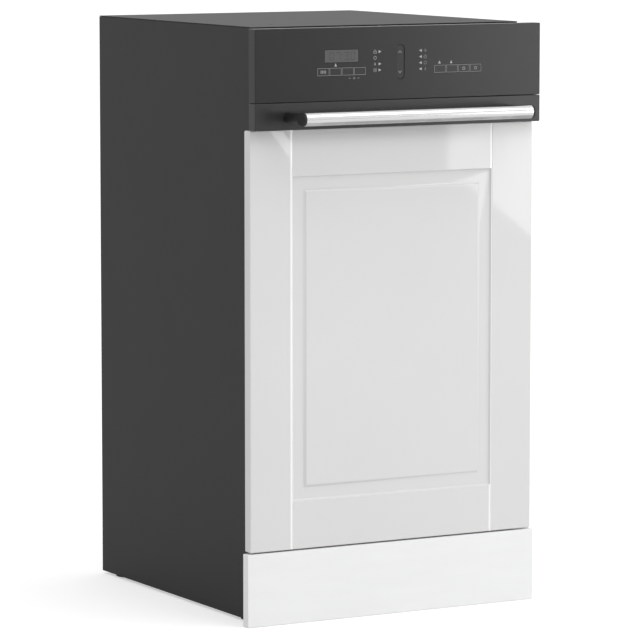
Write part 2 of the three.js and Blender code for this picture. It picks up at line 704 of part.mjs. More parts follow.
function controlFascia() {
  const shell = fasciaShell(FASCIA_SEAM + GAP, FASCIA_TOP);
  const front = FASCIA_FRONT - 1;
  const back = FASCIA_FRONT + 5;
  const rows = [-KEY_ROW_X, KEY_ROW_X].map((x) =>
    block(x - KEY_HALF_ROW - 0.3, x + KEY_HALF_ROW + 0.3, front, back, KEY_BOTTOM - 0.3, KEY_TOP + 0.3),
  );
  const window = block(
    -KEY_ROW_X - DISPLAY_HALF - 0.3, -KEY_ROW_X + DISPLAY_HALF + 0.3, front, back,
    DISPLAY_BOTTOM - 0.3, DISPLAY_TOP + 0.3,
  );
  const slot = roundedRectangle(-7, 7, CONTROL_MIDDLE - 24.5, CONTROL_MIDDLE + 24.5, 6.9);
  return cut(shell, rows, window, prism(slot, "y", front, back));
}

function handleStrip() {
  return fasciaShell(FASCIA_BOTTOM, FASCIA_SEAM - GAP);
}

function controlHousing() {
  const half = FASCIA_HALF - FASCIA_WALL - GAP;
  const plate = block(
    -half, half, PLATE_FRONT + GAP, FASCIA_BACK,
    FASCIA_BOTTOM + FASCIA_WALL + GAP, FASCIA_TOP - FASCIA_WALL - GAP,
  );
  const box = block(-DOOR_HALF, DOOR_HALF, FASCIA_BACK + GAP, 0.1, FASCIA_BOTTOM + 0.8, DOOR_TOP);
  const neck = block(-DOOR_HALF, DOOR_HALF, FASCIA_BACK - 1, 0, FASCIA_BOTTOM + 4, DOOR_TOP - 1);
  const hollow = block(-196, 196, PLATE_FRONT - 1, -2, 720, 800);
  return cut(join(plate, neck, box), hollow);
}

function displayWindow() {
  const x = -KEY_ROW_X;
  return block(
    x - DISPLAY_HALF, x + DISPLAY_HALF, FASCIA_FRONT + 0.2, FASCIA_FRONT + 4, DISPLAY_BOTTOM, DISPLAY_TOP,
  );
}

function key(x) {
  const half = KEY_PITCH / 2 - 0.25;
  const outline = roundedRectangle(x - half, x + half, KEY_BOTTOM + 0.1, KEY_TOP - 0.1, 0.8);
  return prism(outline, "y", FASCIA_FRONT, FASCIA_FRONT + 6, 1);
}

const ROCKER_TILT_Y = FASCIA_FRONT + 5;

function rockerKey() {
  const outline = roundedRectangle(-6.4, 6.4, CONTROL_MIDDLE - 23.6, CONTROL_MIDDLE + 23.6, 6.3);
  const pivot = rod("x", 1.5, ROCKER_TILT_Y, CONTROL_MIDDLE, -6, 6, 8);
  return join(prism(outline, "y", FASCIA_FRONT + 0.6, FASCIA_FRONT + 4.5), pivot);
}

function handleBar() {
  return rod("x", BAR_RADIUS, BAR_Y, BAR_Z, -BAR_HALF, BAR_HALF, 24);
}

// A plug on one end of the bar, with the round post that carries it on the handle strip.
function handlePost(side) {
  const lug = new THREE.Shape();
  const behind = BAR_Y + BAR_RADIUS + GAP;
  lug.moveTo(behind + 4, BAR_Z + POST_RADIUS);
  lug.lineTo(BAR_Y, BAR_Z + BAR_RADIUS);
  lug.absarc(BAR_Y, BAR_Z, BAR_RADIUS, Math.PI / 2, Math.PI * 1.5);
  lug.lineTo(behind + 4, BAR_Z - POST_RADIUS);
  const inner = BAR_HALF + GAP;
  const outer = inner + CAP_WIDTH;
  const ends = [side * inner, side * outer].sort((a, b) => a - b);
  const post = rod("y", POST_RADIUS, side * (outer - POST_RADIUS), BAR_Z, behind, FASCIA_FRONT - GAP, 16);
  return join(prism(lug, "x", ends[0], ends[1], 8), post);
}

function detergentDispenser() {
  const { half, z0, z1, front, back } = DISPENSER;
  const body = prism(roundedRectangle(-half, half, z0, z1, 10), "y", front, back);
  const chamber = block(CHAMBER.x0, CHAMBER.x1, 22, back + 1, CHAMBER.z0, CHAMBER.z1);
  return cut(body, chamber);
}

function dispenserLid() {
  const back = DISPENSER.back + GAP;
  const plate = block(CHAMBER.x0 - 4, CHAMBER.x1 + 4, back, back + 2.5, CHAMBER.z0 - 4, CHAMBER.z1 + 4);
  const grip = block(CHAMBER.x1 - 6, CHAMBER.x1, back + 2, back + 6, CHAMBER.z0 + 12, CHAMBER.z1 - 12);
  return join(plate, grip);
}

function rinseAidCap() {
  const back = DISPENSER.back + GAP;
  const cap = rod("y", 18, CAP_X, CAP_Z, back, back + 4, 20);
  const grip = block(CAP_X - 14, CAP_X + 14, back + 3, back + 7, CAP_Z - 3, CAP_Z + 3);
  return join(cap, grip);
}

function doorLatch() {
  const shank = block(-9, 9, 8, 44.5, DOOR_TOP + 0.9, DOOR_TOP + 4.5);
  const nose = block(-9, 9, 41, 44.5, 803.6, DOOR_TOP + 2);
  return join(shank, nose);
}

// The sickle arm: a plate on the inner door's side with an arc round the door's virtual axis.
function hingeArm(side) {
  const arc = new THREE.Shape();
  const turn = (degrees) => THREE.MathUtils.degToRad(degrees);
  arc.absarc(HINGE_Y, HINGE_Z, ARC_OUTER, turn(-60), turn(24), false);
  arc.absarc(HINGE_Y, HINGE_Z, ARC_INNER, turn(24), turn(-60), true);
  const ends = [side * (DOOR_HALF + 0.4), side * (DOOR_HALF + 3.4)].sort((a, b) => a - b);
  const sickle = prism(arc, "x", ends[0], ends[1], 10);
  const plate = block(ends[0], ends[1], 4, 29, 124, 250);
  return join(sickle, plate);
}

// ---------------------------------------------------------------- place the cabinet pieces
for (const [name, side] of Object.entries(SIDES)) {
  place(`${name}_side_panel`, sidePanel(side), anthracite);
  place(`balance_spring_${name}`, balanceSpring(side), spring_steel);
  for (const [end, y] of Object.entries(FOOT_YS)) {
    place(`foot_${end}_${name}`, foot(side * FOOT_X, y), matt_black);
  }
}
place("top_cover", topCover(), anthracite);
place("back_cover", backCover(), galvanised);
place("base_tray", baseTray(), matt_black);
place("plinth", plinth(), white_board);
place("tub", tub(), stainless);
place("door_seal", doorSeal(), seal_rubber);
place("sump", sump(), grey_plastic);
place("filter_plate", filterPlate(), stainless);
place("fine_filter", fineFilter(), grey_plastic);
place("salt_container", saltContainer(), light_plastic);
place("salt_cap", saltCap(), grey_plastic);
place("circulation_pump", circulationPump(), pump_black);
place("drain_pump", drainPump(), pump_black);
place("inlet_valve", inletValve(), light_plastic);
place("spray_duct", sprayDuct(), grey_plastic);
place("latch_striker", latchStriker(), galvanised);
place("lower_spray_arm", sprayArm(LOWER_ARM_REACH, 145, 158, 9.6), grey_plastic);

// ---------------------------------------------------------------- place the baskets
place("lower_basket", lowerBasket(), blue_grey_wire);
place("cutlery_basket", cutleryBasket(), grey_plastic);
place("upper_basket", upperBasket(), blue_grey_wire);
place("upper_spray_arm", sprayArm(UPPER_ARM_REACH, 402, 412, 8.6), grey_plastic);
for (const [name, side] of Object.entries(SIDES)) {
  place(`rack_rail_${name}`, rackRail(side), stainless);
  for (const [end, y] of Object.entries(WHEEL_YS)) {
    place(`basket_wheel_${end}_${name}`, basketWheel(side, y), grey_plastic);
  }
}

// ---------------------------------------------------------------- place the door pieces
place("outer_door", outerDoor(), galvanised);
place("inner_door", innerDoor(), stainless);
place("decor_panel", decorPanel(), white_lacquer);
place("control_housing", controlHousing(), matt_black);
place("control_fascia", controlFascia(), gloss_black);
place("handle_strip", handleStrip(), gloss_black);
place("display_window", displayWindow(), display_grey);
place("rocker_key", rockerKey(), key_black);
place("handle_bar", handleBar(), chrome);
place("detergent_dispenser", detergentDispenser(), grey_plastic);
place("dispenser_lid", dispenserLid(), light_plastic);
place("rinse_aid_cap", rinseAidCap(), grey_plastic);
place("door_latch", doorLatch(), galvanised);
for (const [name, side] of Object.entries(SIDES)) {
  place(`handle_post_${name}`, handlePost(side), matt_black);
  place(`hinge_arm_${name}`, hingeArm(side), galvanised);
  for (let n = 0; n < 4; n++) {
    const x = side * KEY_ROW_X + (n - 1.5) * KEY_PITCH;
    place(`key_${name}_${n + 1}`, key(x), key_black);
  }
}

// ---------------------------------------------------------------- the origin under the footprint
const footprint_front = BAR_Y - BAR_RADIUS;
cabinet.position.y = -(footprint_front + BODY_DEPTH) / 2;

const dishwasher = new THREE.Group();
dishwasher.add(cabinet);

export default dishwasher;
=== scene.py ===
"""A 45 cm semi-integrated dishwasher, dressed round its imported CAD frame. Metres, Z up.

Shapes are drawn in millimetres and scaled once, in mesh_object.
"""
import json
import math

import bmesh
import bpy
from mathutils import Matrix, Vector


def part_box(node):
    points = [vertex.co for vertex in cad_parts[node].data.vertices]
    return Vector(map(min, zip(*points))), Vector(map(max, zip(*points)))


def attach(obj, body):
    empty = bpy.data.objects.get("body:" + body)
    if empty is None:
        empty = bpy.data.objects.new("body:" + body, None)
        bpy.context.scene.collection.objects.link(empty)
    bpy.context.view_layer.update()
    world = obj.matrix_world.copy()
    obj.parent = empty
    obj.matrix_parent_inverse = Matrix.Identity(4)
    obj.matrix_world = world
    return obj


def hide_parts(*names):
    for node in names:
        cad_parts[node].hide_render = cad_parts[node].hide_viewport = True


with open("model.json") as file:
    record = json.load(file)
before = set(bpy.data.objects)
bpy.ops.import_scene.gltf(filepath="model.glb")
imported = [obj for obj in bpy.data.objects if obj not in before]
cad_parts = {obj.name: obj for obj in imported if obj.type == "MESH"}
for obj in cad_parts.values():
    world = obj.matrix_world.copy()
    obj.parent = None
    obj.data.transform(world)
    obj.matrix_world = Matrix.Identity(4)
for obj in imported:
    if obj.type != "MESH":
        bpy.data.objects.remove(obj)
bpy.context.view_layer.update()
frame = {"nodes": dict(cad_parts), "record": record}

MM = 0.001
HAIR = 0.01  # radii under this count as none, and a sharp corner of a slab gets this much
BODY_OF = {node: body for body, nodes in frame["record"]["behaviour"]["bodies"].items() for node in nodes}
SIDES = (("left", -1), ("right", 1))
CORNERS = [(f"{end}_{side}", sign) for end in ("front", "rear") for side, sign in SIDES]


# ------------------------------------------------------------------ geometry helpers
def box(node):
    """The low and high corner of a CAD node in millimetres."""
    return [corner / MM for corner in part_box(node)]


def centre(node):
    low, high = box(node)
    return (low + high) / 2


def spokes(count):
    """The angles that share out a full turn."""
    return [2 * math.pi * n / count for n in range(count)]


def on_circle(t, radius, a=0.0, b=0.0):
    return a + radius * math.cos(t), b + radius * math.sin(t)


def spot(axis, a, b, w):
    """A point from its place w along an axis and its other two coordinates in x, y, z order."""
    return {"x": (w, a, b), "y": (a, w, b), "z": (a, b, w)}[axis]


def rounded_rectangle(a0, a1, b0, b1, radius, steps=6):
    """Points round a rectangle with round corners; a radius of 0 gives its four corners."""
    if radius <= 0:
        return [(a1, b0), (a1, b1), (a0, b1), (a0, b0)]
    corners = [(a1 - radius, b0 + radius, -90), (a1 - radius, b1 - radius, 0),
               (a0 + radius, b1 - radius, 90), (a0 + radius, b0 + radius, 180)]
    return [on_circle(math.radians(start + 90 * n / steps), radius, a, b)
            for a, b, start in corners for n in range(steps + 1)]


def ring_at(y, low, high, inset=0.0, radius=0.0, steps=8):
    """A rounded rectangle that faces forward at y, drawn in from two corners."""
    outline = rounded_rectangle(low.x + inset, high.x - inset, low.z + inset, high.z - inset, radius, steps)
    return [(x, y, z) for x, z in outline]


def loft(bm, rings, cap=True, cyclic=False):
    """Joins rings of equally many points into a skin."""
    made = [[bm.verts.new(p) for p in ring] for ring in rings]
    pairs = list(zip(made, made[1:])) + ([(made[-1], made[0])] if cyclic else [])
    for near, far in pairs:
        for n in range(len(near)):
            m = (n + 1) % len(near)
            bm.faces.new((near[n], near[m], far[m], far[n]))
    if cap and not cyclic:
        bm.faces.new(list(reversed(made[0])))
        bm.faces.new(made[-1])
    return made


def slab(bm, axis, rect, w0, w1, corner=0.0, edge=0.0, steps=6, edge_steps=3):
    """A plate with round corners of radius corner and round edges of radius edge on both faces."""
    a0, a1, b0, b1 = rect
    profile = [(0.0, w0), (0.0, w1)]
    if edge > 0:
        turns = [math.radians(90 * n / edge_steps) for n in range(edge_steps + 1)]
        profile = [(edge * (1 - math.sin(t)), w0 + edge * (1 - math.cos(t))) for t in turns]
        profile += [(edge * (1 - math.cos(t)), w1 - edge * (1 - math.sin(t))) for t in turns]
    rings = []
    for inset, w in profile:
        radius = max(corner - inset, 0.0) if corner else 0.0
        outline = rounded_rectangle(a0 + inset, a1 - inset, b0 + inset, b1 - inset, radius + HAIR, steps)
        rings.append([spot(axis, a, b, w) for a, b in outline])
    loft(bm, rings)


def plate(bm, axis, low, high, *rounds, **steps):
    """A slab between two corners."""
    a, b, w = {"x": (1, 2, 0), "y": (0, 2, 1), "z": (0, 1, 2)}[axis]
    slab(bm, axis, (low[a], high[a], low[b], high[b]), low[w], high[w], *rounds, **steps)


def soft_box(bm, low, high, edge, axis="z"):
    plate(bm, axis, low, high, edge, edge, 2, 2)


def lathe(bm, axis, a, b, profile, steps=40):
    """Turns (radius, place along the axis) points round an axis; points on the axis close the shape."""
    rings = []
    for radius, w in profile:
        turns = [0.0] if radius < HAIR else spokes(steps)
        rings.append([bm.verts.new(spot(axis, *on_circle(t, radius, a, b), w)) for t in turns])
    closed = profile[0] != profile[-1] and len(rings[0]) > 1
    for near, far in list(zip(rings, rings[1:])) + ([(rings[-1], rings[0])] if closed else []):
        for n in range(steps):
            m = (n + 1) % steps
            if len(near) == 1 and len(far) == 1:
                break
            if len(near) == 1:
                bm.faces.new((near[0], far[m], far[n]))
            elif len(far) == 1:
                bm.faces.new((near[n], near[m], far[0]))
            else:
                bm.faces.new((near[n], near[m], far[m], far[n]))


def soft_rod(bm, axis, radius, a, b, w0, w1, edge=0.0, steps=32):
    """A round bar with rounded rims."""
    start = [(radius, w0)]
    if edge:
        turns = [math.radians(30 * n) for n in range(4)]
        start = [(radius - edge * (1 - math.sin(t)), w0 + edge * (1 - math.cos(t))) for t in turns]
    end = [(r, w0 + w1 - w) for r, w in reversed(start)]
    lathe(bm, axis, a, b, [(0.0, w0), *start, *end, (0.0, w1)], steps)


def filleted(points, radius, steps=4):
    """An open polyline with its corners rounded."""
    points = [Vector(p) for p in points]
    path = [points[0]]
    for before, here, after in zip(points, points[1:], points[2:]):
        back, on = before - here, after - here
        reach = min(radius, back.length * 0.49, on.length * 0.49)
        first, last = here + back.normalized() * reach, here + on.normalized() * reach
        for t in (k / steps for k in range(steps + 1)):
            path.append((1 - t) ** 2 * first + 2 * t * (1 - t) * here + t * t * last)
    return path + [points[-1]]


def tube(bm, path, radius, closed=False, sides=8):
    """A round wire along a path."""
    path = [Vector(p) for p in path]
    count = len(path)
    rings = []
    normal = None
    for n, here in enumerate(path):
        if closed:
            along = path[(n + 1) % count] - path[n - 1]
        else:
            along = path[min(n + 1, count - 1)] - path[max(n - 1, 0)]
        along.normalize()
        if normal is None:
            normal = along.orthogonal().normalized()
        normal = (normal - along * normal.dot(along)).normalized()
        across = along.cross(normal)
        rings.append([here + radius * (math.cos(t) * normal + math.sin(t) * across) for t in spokes(sides)])
    if closed:  # the last ring is turned to meet the first
        made = loft(bm, rings, cap=False)
        first, last = made[0], made[-1]
        shift = min(range(sides), key=lambda k: (last[0].co - first[k].co).length)
        for n in range(sides):
            m = (n + 1) % sides
            bm.faces.new((last[n], last[m], first[(m + shift) % sides], first[(n + shift) % sides]))
    else:
        loft(bm, rings)


def prism(bm, axis, outline, w0, w1):
    """A flat outline given a thickness along an axis."""
    loft(bm, [[spot(axis, a, b, w) for a, b in outline] for w in (w0, w1)])


def drawn(draw, *where, **more):
    """A new bmesh with one shape in it."""
    bm = bmesh.new()
    draw(bm, *where, **more)
    return bm


def mesh_object(name, bm, scale=MM):
    """Puts bm into the scene as an object."""
    mesh = bpy.data.meshes.new(name)
    bm.to_mesh(mesh)
    bm.free()
    mesh.transform(Matrix.Scale(scale, 4))
    made = bpy.data.objects.new(name, mesh)
    bpy.context.scene.collection.objects.link(made)
    return made


def smooth(made, sharp=35):
    made.data.shade_smooth()
    made.data.set_sharp_from_angle(angle=math.radians(sharp))


def piece(name, bm, look, node=None, body=None, sharp=35, rounding=0.0):
    """Makes an object of bm, gives it its material and puts it on its CAD body."""
    bmesh.ops.recalc_face_normals(bm, faces=bm.faces)
    made = mesh_object(name, bm)
    smooth(made, sharp)
    made.data.materials.append(LOOKS[look])
    if rounding:
        bevel = made.modifiers.new("rounding", "BEVEL")
        bevel.width = rounding * MM
        bevel.segments = 3
        bevel.limit_method = "ANGLE"
        bevel.angle_limit = math.radians(40)
        bevel.harden_normals = True
        bevel.use_clamp_overlap = True
    else:
        made.modifiers.new("normals", "WEIGHTED_NORMAL").keep_sharp = True
    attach(made, body or BODY_OF[node])
    if node:
        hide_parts(node)
    return made


def cut_away(made, *cutters, finish=None):
    """Takes closed meshes out of a piece for good, and may give the cut faces a material of their own; the
    decor panel uses this to paint a highlight along its V joints.
    """
    for bm in cutters:
        bmesh.ops.recalc_face_normals(bm, faces=bm.faces)
        tool = mesh_object("cutter", bm)
        if finish:
            tool.data.materials.append(LOOKS[finish])
        boolean = made.modifiers.new("cut", "BOOLEAN")
        boolean.object = tool
        boolean.operation = "DIFFERENCE"
        boolean.solver = "EXACT"
        boolean.material_mode = "TRANSFER" if finish else "INDEX"
        for weighted in [m for m in made.modifiers if m.type == "WEIGHTED_NORMAL"]:
            made.modifiers.remove(weighted)
        graph = bpy.context.evaluated_depsgraph_get()
        result = bpy.data.meshes.new_from_object(made.evaluated_get(graph))
        old = made.data
        made.modifiers.clear()
        made.data = result
        bpy.data.meshes.remove(old)
        bpy.data.objects.remove(tool)
    smooth(made)
    made.modifiers.new("normals", "WEIGHTED_NORMAL").keep_sharp = True


def refined(node, look, rounding=0.4):
    """The CAD node's own shape with its edges softened."""
    bm = bmesh.new()
    bm.from_mesh(frame["nodes"][node].data)
    bmesh.ops.remove_doubles(bm, verts=bm.verts, dist=1e-6)
    bmesh.ops.dissolve_limit(bm, angle_limit=math.radians(1), verts=bm.verts, edges=bm.edges)
    bmesh.ops.transform(bm, matrix=Matrix.Scale(1 / MM, 4), verts=bm.verts)
    piece(f"{node}_shell", bm, look, node, rounding=rounding)


# ------------------------------------------------------------------ materials
class Look:
    """A procedural finish: a Principled shader whose colour, roughness and bump come from noise."""

    def __init__(self, name, **sockets):
        self.name = name
        self.material = bpy.data.materials.new(name)
        self.material.use_nodes = True
        self.tree = self.material.node_tree
        self.shader = self.tree.nodes["Principled BSDF"]
        self.normal = None
        self.place = self.node("ShaderNodeTexCoord").outputs["Object"]
        for socket, value in sockets.items():
            self.shader.inputs[socket.replace("_", " ")].default_value = value

    def node(self, kind, inputs=None, **settings):
        made = self.tree.nodes.new(kind)
        for name, value in settings.items():
            setattr(made, name, value)
        for socket, value in (inputs or {}).items():
            if isinstance(value, bpy.types.NodeSocket):
                self.tree.links.new(value, made.inputs[socket])
            else:
                made.inputs[socket].default_value = value
        return made

    def mapped(self, stretch):
        return self.node("ShaderNodeMapping", {"Vector": self.place, "Scale": stretch}).outputs["Vector"]

    def noise(self, scale, detail=3.0, stretch=(1, 1, 1)):
        inputs = {"Vector": self.mapped(stretch), "Scale": scale, "Detail": detail, "Roughness": 0.55}
        return self.node("ShaderNodeTexNoise", inputs).outputs["Fac"]

    def cells(self, scale, stretch=(1, 1, 1)):
        inputs = {"Vector": self.mapped(stretch), "Scale": scale}
        return self.node("ShaderNodeTexVoronoi", inputs, feature="F1")

    def colour(self, fac, dark, light, low=0.3, high=0.7):
        ramp = self.node("ShaderNodeValToRGB", {"Fac": fac})
        for stop, (position, shade) in zip(ramp.color_ramp.elements, ((low, dark), (high, light))):
            stop.position = position
            stop.color = (*shade, 1)
        self.tree.links.new(ramp.outputs["Color"], self.shader.inputs["Base Color"])

    def roughness(self, fac, low, high):
        span = self.node("ShaderNodeMapRange", {"Value": fac, "To Min": low, "To Max": high})
        self.tree.links.new(span.outputs["Result"], self.shader.inputs["Roughness"])

    def bump(self, fac, strength, depth):
        """Adds relief; depth is in millimetres."""
        inputs = {"Height": fac, "Strength": strength, "Distance": depth * MM}
        if self.normal:
            inputs["Normal"] = self.normal
        self.normal = self.node("ShaderNodeBump", inputs).outputs["Normal"]
        self.tree.links.new(self.normal, self.shader.inputs["Normal"])


def grey(value, warm=0.0):
    return (value * (1 + warm), value, value * (1 - warm))


def between(value, spread, warm=0.0):
    """Two greys a little darker and lighter than a middle one."""
    return grey(value * (1 - spread), warm), grey(value * (1 + spread), warm)


def noisy(name, grain, shades, rough_grain, rough, *bumps, **sockets):
    """A finish whose grains are given as noise scale and detail, and bumps as grain, strength, depth."""
    look = Look(name, **sockets)
    look.colour(look.noise(*grain), *shades)
    look.roughness(look.noise(*rough_grain), *rough)
    for bump_grain, strength, depth in bumps:
        look.bump(look.noise(*bump_grain), strength, depth)
    return look


def zinc_sheet():
    look = Look("galvanised", Metallic=0.85)
    spangle = look.cells(130, (1, 1, 0.7)).outputs["Color"]
    grain = look.node("ShaderNodeRGBToBW", {"Color": spangle}).outputs["Val"]
    look.colour(grain, grey(0.42, -0.01), grey(0.56, -0.01), 0.1, 0.9)
    look.roughness(grain, 0.34, 0.5)
    look.bump(look.noise(900, 2), 0.1, 0.05)
    return look


def brushed_steel(name, base, stretch, roughness=(0.24, 0.36)):
    look = Look(name, Metallic=1.0)
    brush = look.noise(120, 4, stretch)
    look.colour(brush, *between(base, 0.06))
    look.roughness(brush, *roughness)
    look.bump(brush, 0.06, 0.05)
    look.bump(look.noise(6, 1), 0.04, 2)
    return look


def gloss_panel(name, base):
    return noisy(name, (7,), between(base, 0.06), (60, 3), (0.22, 0.26), ((700, 2), 0.015, 0.02),
                 Specular_IOR_Level=0.5)


def matt_plastic(name, base, warm=0.0, roughness=(0.5, 0.62), strength=0.22):
    grain = 1500
    look = noisy(name, (25, 4), between(base, 0.07, warm), (grain, 2), roughness)
    look.bump(look.cells(grain).outputs["Distance"], strength, 0.06)
    return look


def lacquer(name, base):
    return noisy(name, (5, 2), (grey(base, 0.004), grey(base + 0.012, 0.004)), (40, 3), (0.028, 0.042),
                 ((260, 2), 0.01, 0.05), Specular_IOR_Level=0.5)


def ink(name, base):
    return noisy(name, (2600, 3), between(base, 0.1), (900, 2), (0.4, 0.5), ((3000, 2), 0.05, 0.01))


def polished_chrome():
    """Chrome with a painted reflection: its underside is coloured darker, which stands for the floor line
    that the bar mirrors.
    """
    look = Look("chrome", Metallic=1.0)
    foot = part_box("handle_bar")[0].z
    height = look.node("ShaderNodeSeparateXYZ", {"Vector": look.place}).outputs["Z"]
    lit = look.node("ShaderNodeMapRange", {
        "Value": height, "From Min": foot + 4.6 * MM, "From Max": foot + 5.6 * MM,
        "To Min": 0.0, "To Max": 0.85,
    }).outputs["Result"]
    fac = look.node("ShaderNodeMath", {0: lit, 1: look.noise(30, 2)}, operation="ADD").outputs["Value"]
    # painted reflection: the base colour is darker below the line where the bar mirrors the floor
    look.colour(fac, grey(0.5), grey(0.87), 0.5, 1.2)
    look.roughness(look.noise(80, 3, (1, 6, 6)), 0.1, 0.14)
    look.bump(look.noise(300, 2, (0.1, 1, 1)), 0.02, 0.02)
    return look


LOOKS = {look.name: look.material for look in (
    noisy("anthracite_paint", (9,), between(0.0165, 0.06, -0.01), (1400, 2), (0.42, 0.54),
          ((1900, 2), 0.12, 0.05), ((14, 1), 0.05, 1), IOR=1.5, Specular_IOR_Level=0.35),
    zinc_sheet(),
    brushed_steel("stainless", 0.6, (1, 1, 14)),
    brushed_steel("bright_steel", 0.66, (12, 1, 1), (0.18, 0.26)),
    gloss_panel("gloss_black", 0.012),
    # painted light: a lighter copy of gloss_black for the handle strip, standing in for the light the strip
    # catches
    gloss_panel("gloss_black_painted_lighter", 0.026),
    matt_plastic("matt_black", 0.012),
    matt_plastic("key_black", 0.017, roughness=(0.22, 0.28), strength=0.05),
    lacquer("white_lacquer", 0.735),
    # painted highlight: a lighter copy of the white lacquer, put on the cut faces of the V joints
    lacquer("joint_painted_highlight", 0.95),
    noisy("white_board", (9, 4, (1, 1, 6)), (grey(0.89, -0.004), grey(0.91, -0.004)), (500, 3), (0.36, 0.44),
          ((900, 3, (0.3, 1, 1)), 0.05, 0.05), Specular_IOR_Level=0.4),
    polished_chrome(),
    noisy("display", (2500, 1), between(0.062, 0.1, -0.02), (90, 2), (0.25, 0.35), ((2200, 1), 0.02, 0.02),
          Coat_Weight=1.0, Coat_Roughness=0.08),
    noisy("seal_rubber", (60, 4), between(0.035, 0.12), (300, 2), (0.62, 0.78), ((1200, 3), 0.25, 0.08),
          Specular_IOR_Level=0.35),
    matt_plastic("grey_plastic", 0.27, -0.05),
    matt_plastic("light_plastic", 0.63, -0.03, (0.36, 0.46), strength=0.1),
    noisy("basket_coating", (40, 3), between(0.47, 0.05, -0.03), (200, 2), (0.32, 0.42),
          ((500, 2), 0.12, 0.08),
          Coat_Weight=0.3, Coat_Roughness=0.2),
    noisy("spring_steel", (200, 4), between(0.3, 0.2, 0.02), (150, 3), (0.28, 0.45), ((1500, 2), 0.1, 0.03),
          Metallic=1.0),
    matt_plastic("pump_black", 0.02, strength=0.3),
    ink("print", 0.26),
    ink("faint_print", 0.14),
    ink("bright_print", 0.42),
    ink("digits", 0.032),
)}


# ------------------------------------------------------------------ stage, light and camera, in metres
WHITE = (1, 1, 1, 1)
WORLD_SEEN, WORLD_CAST = 1.0, 0.8
FLOOR_SEEN, FLOOR_CAST, FLOOR_HALF, FLOOR_DROP = 0.5, 0.0, 40.0, 0.3 * MM
CARD_Y, CARD_STRENGTH = -3.0, 2.7
CARD_OUTLINE = ((1.823, 0.328), (2.25, 0.04), (2.25, 1.4), (1.823, 1.4))
SOFTBOXES = {  # name: place, target, size in metres and watts
    "softbox_right": ((3.2, -2.4, 1.3), (0, -0.2, 0.75), (1.8, 2.0), 30),
    "softbox_above": ((0.9, -2.2, 3.3), (0, -0.2, 0.4), (2.6, 1.6), 28),
}
CAMERA_PLACE = (-2.79798, -4.990755, 1.04135)
CAMERA_DIP, CAMERA_TURN = 6.504, -29.2655  # degrees below level, and about Z
FOCAL_LENGTH, SENSOR_WIDTH = 228.16, 36  # mm


def camera_or_light(tree, seen, cast):
    """A number that is seen by the camera as one value and lights the object with another."""
    path = tree.nodes.new("ShaderNodeLightPath")
    span = tree.nodes.new("ShaderNodeMapRange")
    tree.links.new(path.outputs["Is Camera Ray"], span.inputs["Value"])
    span.inputs["To Min"].default_value = cast
    span.inputs["To Max"].default_value = seen
    return span.outputs["Result"]


def lighting():
    world = bpy.data.worlds.new("studio")
    bpy.context.scene.world = world
    world.use_nodes = True
    tree = world.node_tree
    background = tree.nodes["Background"]
    background.inputs["Color"].default_value = WHITE
    tree.links.new(camera_or_light(tree, WORLD_SEEN, WORLD_CAST), background.inputs["Strength"])
    for name, (place, target, size, watts) in SOFTBOXES.items():
        light = bpy.data.lights.new(name, "AREA")
        light.shape = "RECTANGLE"
        light.size, light.size_y = size
        light.energy = watts
        lamp = bpy.data.objects.new(name, light)
        lamp.location = place
        lamp.rotation_euler = (Vector(target) - Vector(place)).to_track_quat("-Z", "Y").to_euler()
        bpy.context.scene.collection.objects.link(lamp)


def stage_sheet(name, corners, look, strength):
    """A flat part of the stage that glows with a strength taken from a socket."""
    bm = bmesh.new()
    bm.faces.new([bm.verts.new(p) for p in corners])
    made = mesh_object(name, bm, 1)
    look.shader.inputs["Emission Color"].default_value = WHITE
    look.tree.links.new(strength, look.shader.inputs["Emission Strength"])
    look.colour(look.noise(4, 2), grey(0.72), grey(0.74))
    look.roughness(look.noise(50, 2), 0.85, 0.95)
    made.data.materials.append(look.material)
    return made


def floor():
    look = Look("pale_floor")
    corners = [(x * FLOOR_HALF, y * FLOOR_HALF, 0) for x, y in ((-1, -1), (1, -1), (1, 1), (-1, 1))]
    made = stage_sheet("floor", corners, look, camera_or_light(look.tree, FLOOR_SEEN, FLOOR_CAST))
    made.location.z = -FLOOR_DROP


def window_card():
    """A bright card off to the right, which the glossy door mirrors at its upper right corner."""
    look = Look("window_light")
    path = look.node("ShaderNodeLightPath")
    first = look.node("ShaderNodeMapRange", {  # only the first mirrored ray sees it
        "Value": path.outputs["Ray Depth"], "From Min": 1.4, "From Max": 1.6, "To Min": CARD_STRENGTH,
        "To Max": 0.0,
    })
    corners = [(x, CARD_Y, z) for x, z in CARD_OUTLINE]
    made = stage_sheet("window_card", corners, look, first.outputs["Result"])
    made.visible_camera = False


def camera():
    lens = bpy.data.cameras.new("camera")
    lens.lens = FOCAL_LENGTH
    lens.sensor_width = SENSOR_WIDTH
    lens.clip_end = 100
    made = bpy.data.objects.new("camera", lens)
    made.location = CAMERA_PLACE
    made.rotation_euler = (math.radians(90 - CAMERA_DIP), 0, math.radians(CAMERA_TURN))
    bpy.context.scene.collection.objects.link(made)
    bpy.context.scene.camera = made
    bpy.context.scene.view_settings.view_transform = "Standard"


# ------------------------------------------------------------------ door front
STILE, TOP_RAIL = 65.5, 63.3  # widths of the decor panel's stiles and bottom rail, and of its top rail
EDGE_PROFILE = [
    (-0.4, -1.0), (0.2, 0.0), (0.5, 0.3), (0.9, 0.9), (1.4, 1.7), (2.0, 2.4), (2.8, 2.9), (3.8, 3.1)]
FIELD_PROFILE = [(18.4, 3.1), (19.0, 2.9), (21.6, 1.0), (22.3, 0.65), (23.2, 0.6)]  # both as inset, depth
GROOVE = [(-6.5, -1.0), (-0.2, 0.8), (0.5, 0.8), (1.6, -1.0)]
FASCIA_WALL = 2.5
KEYS = [f"key_{side}_{n}" for side in ("left", "right") for n in (1, 2, 3, 4)]
FRONT = box("control_fascia")[0].y
PRINT = 0.05  # thickness of a printed line


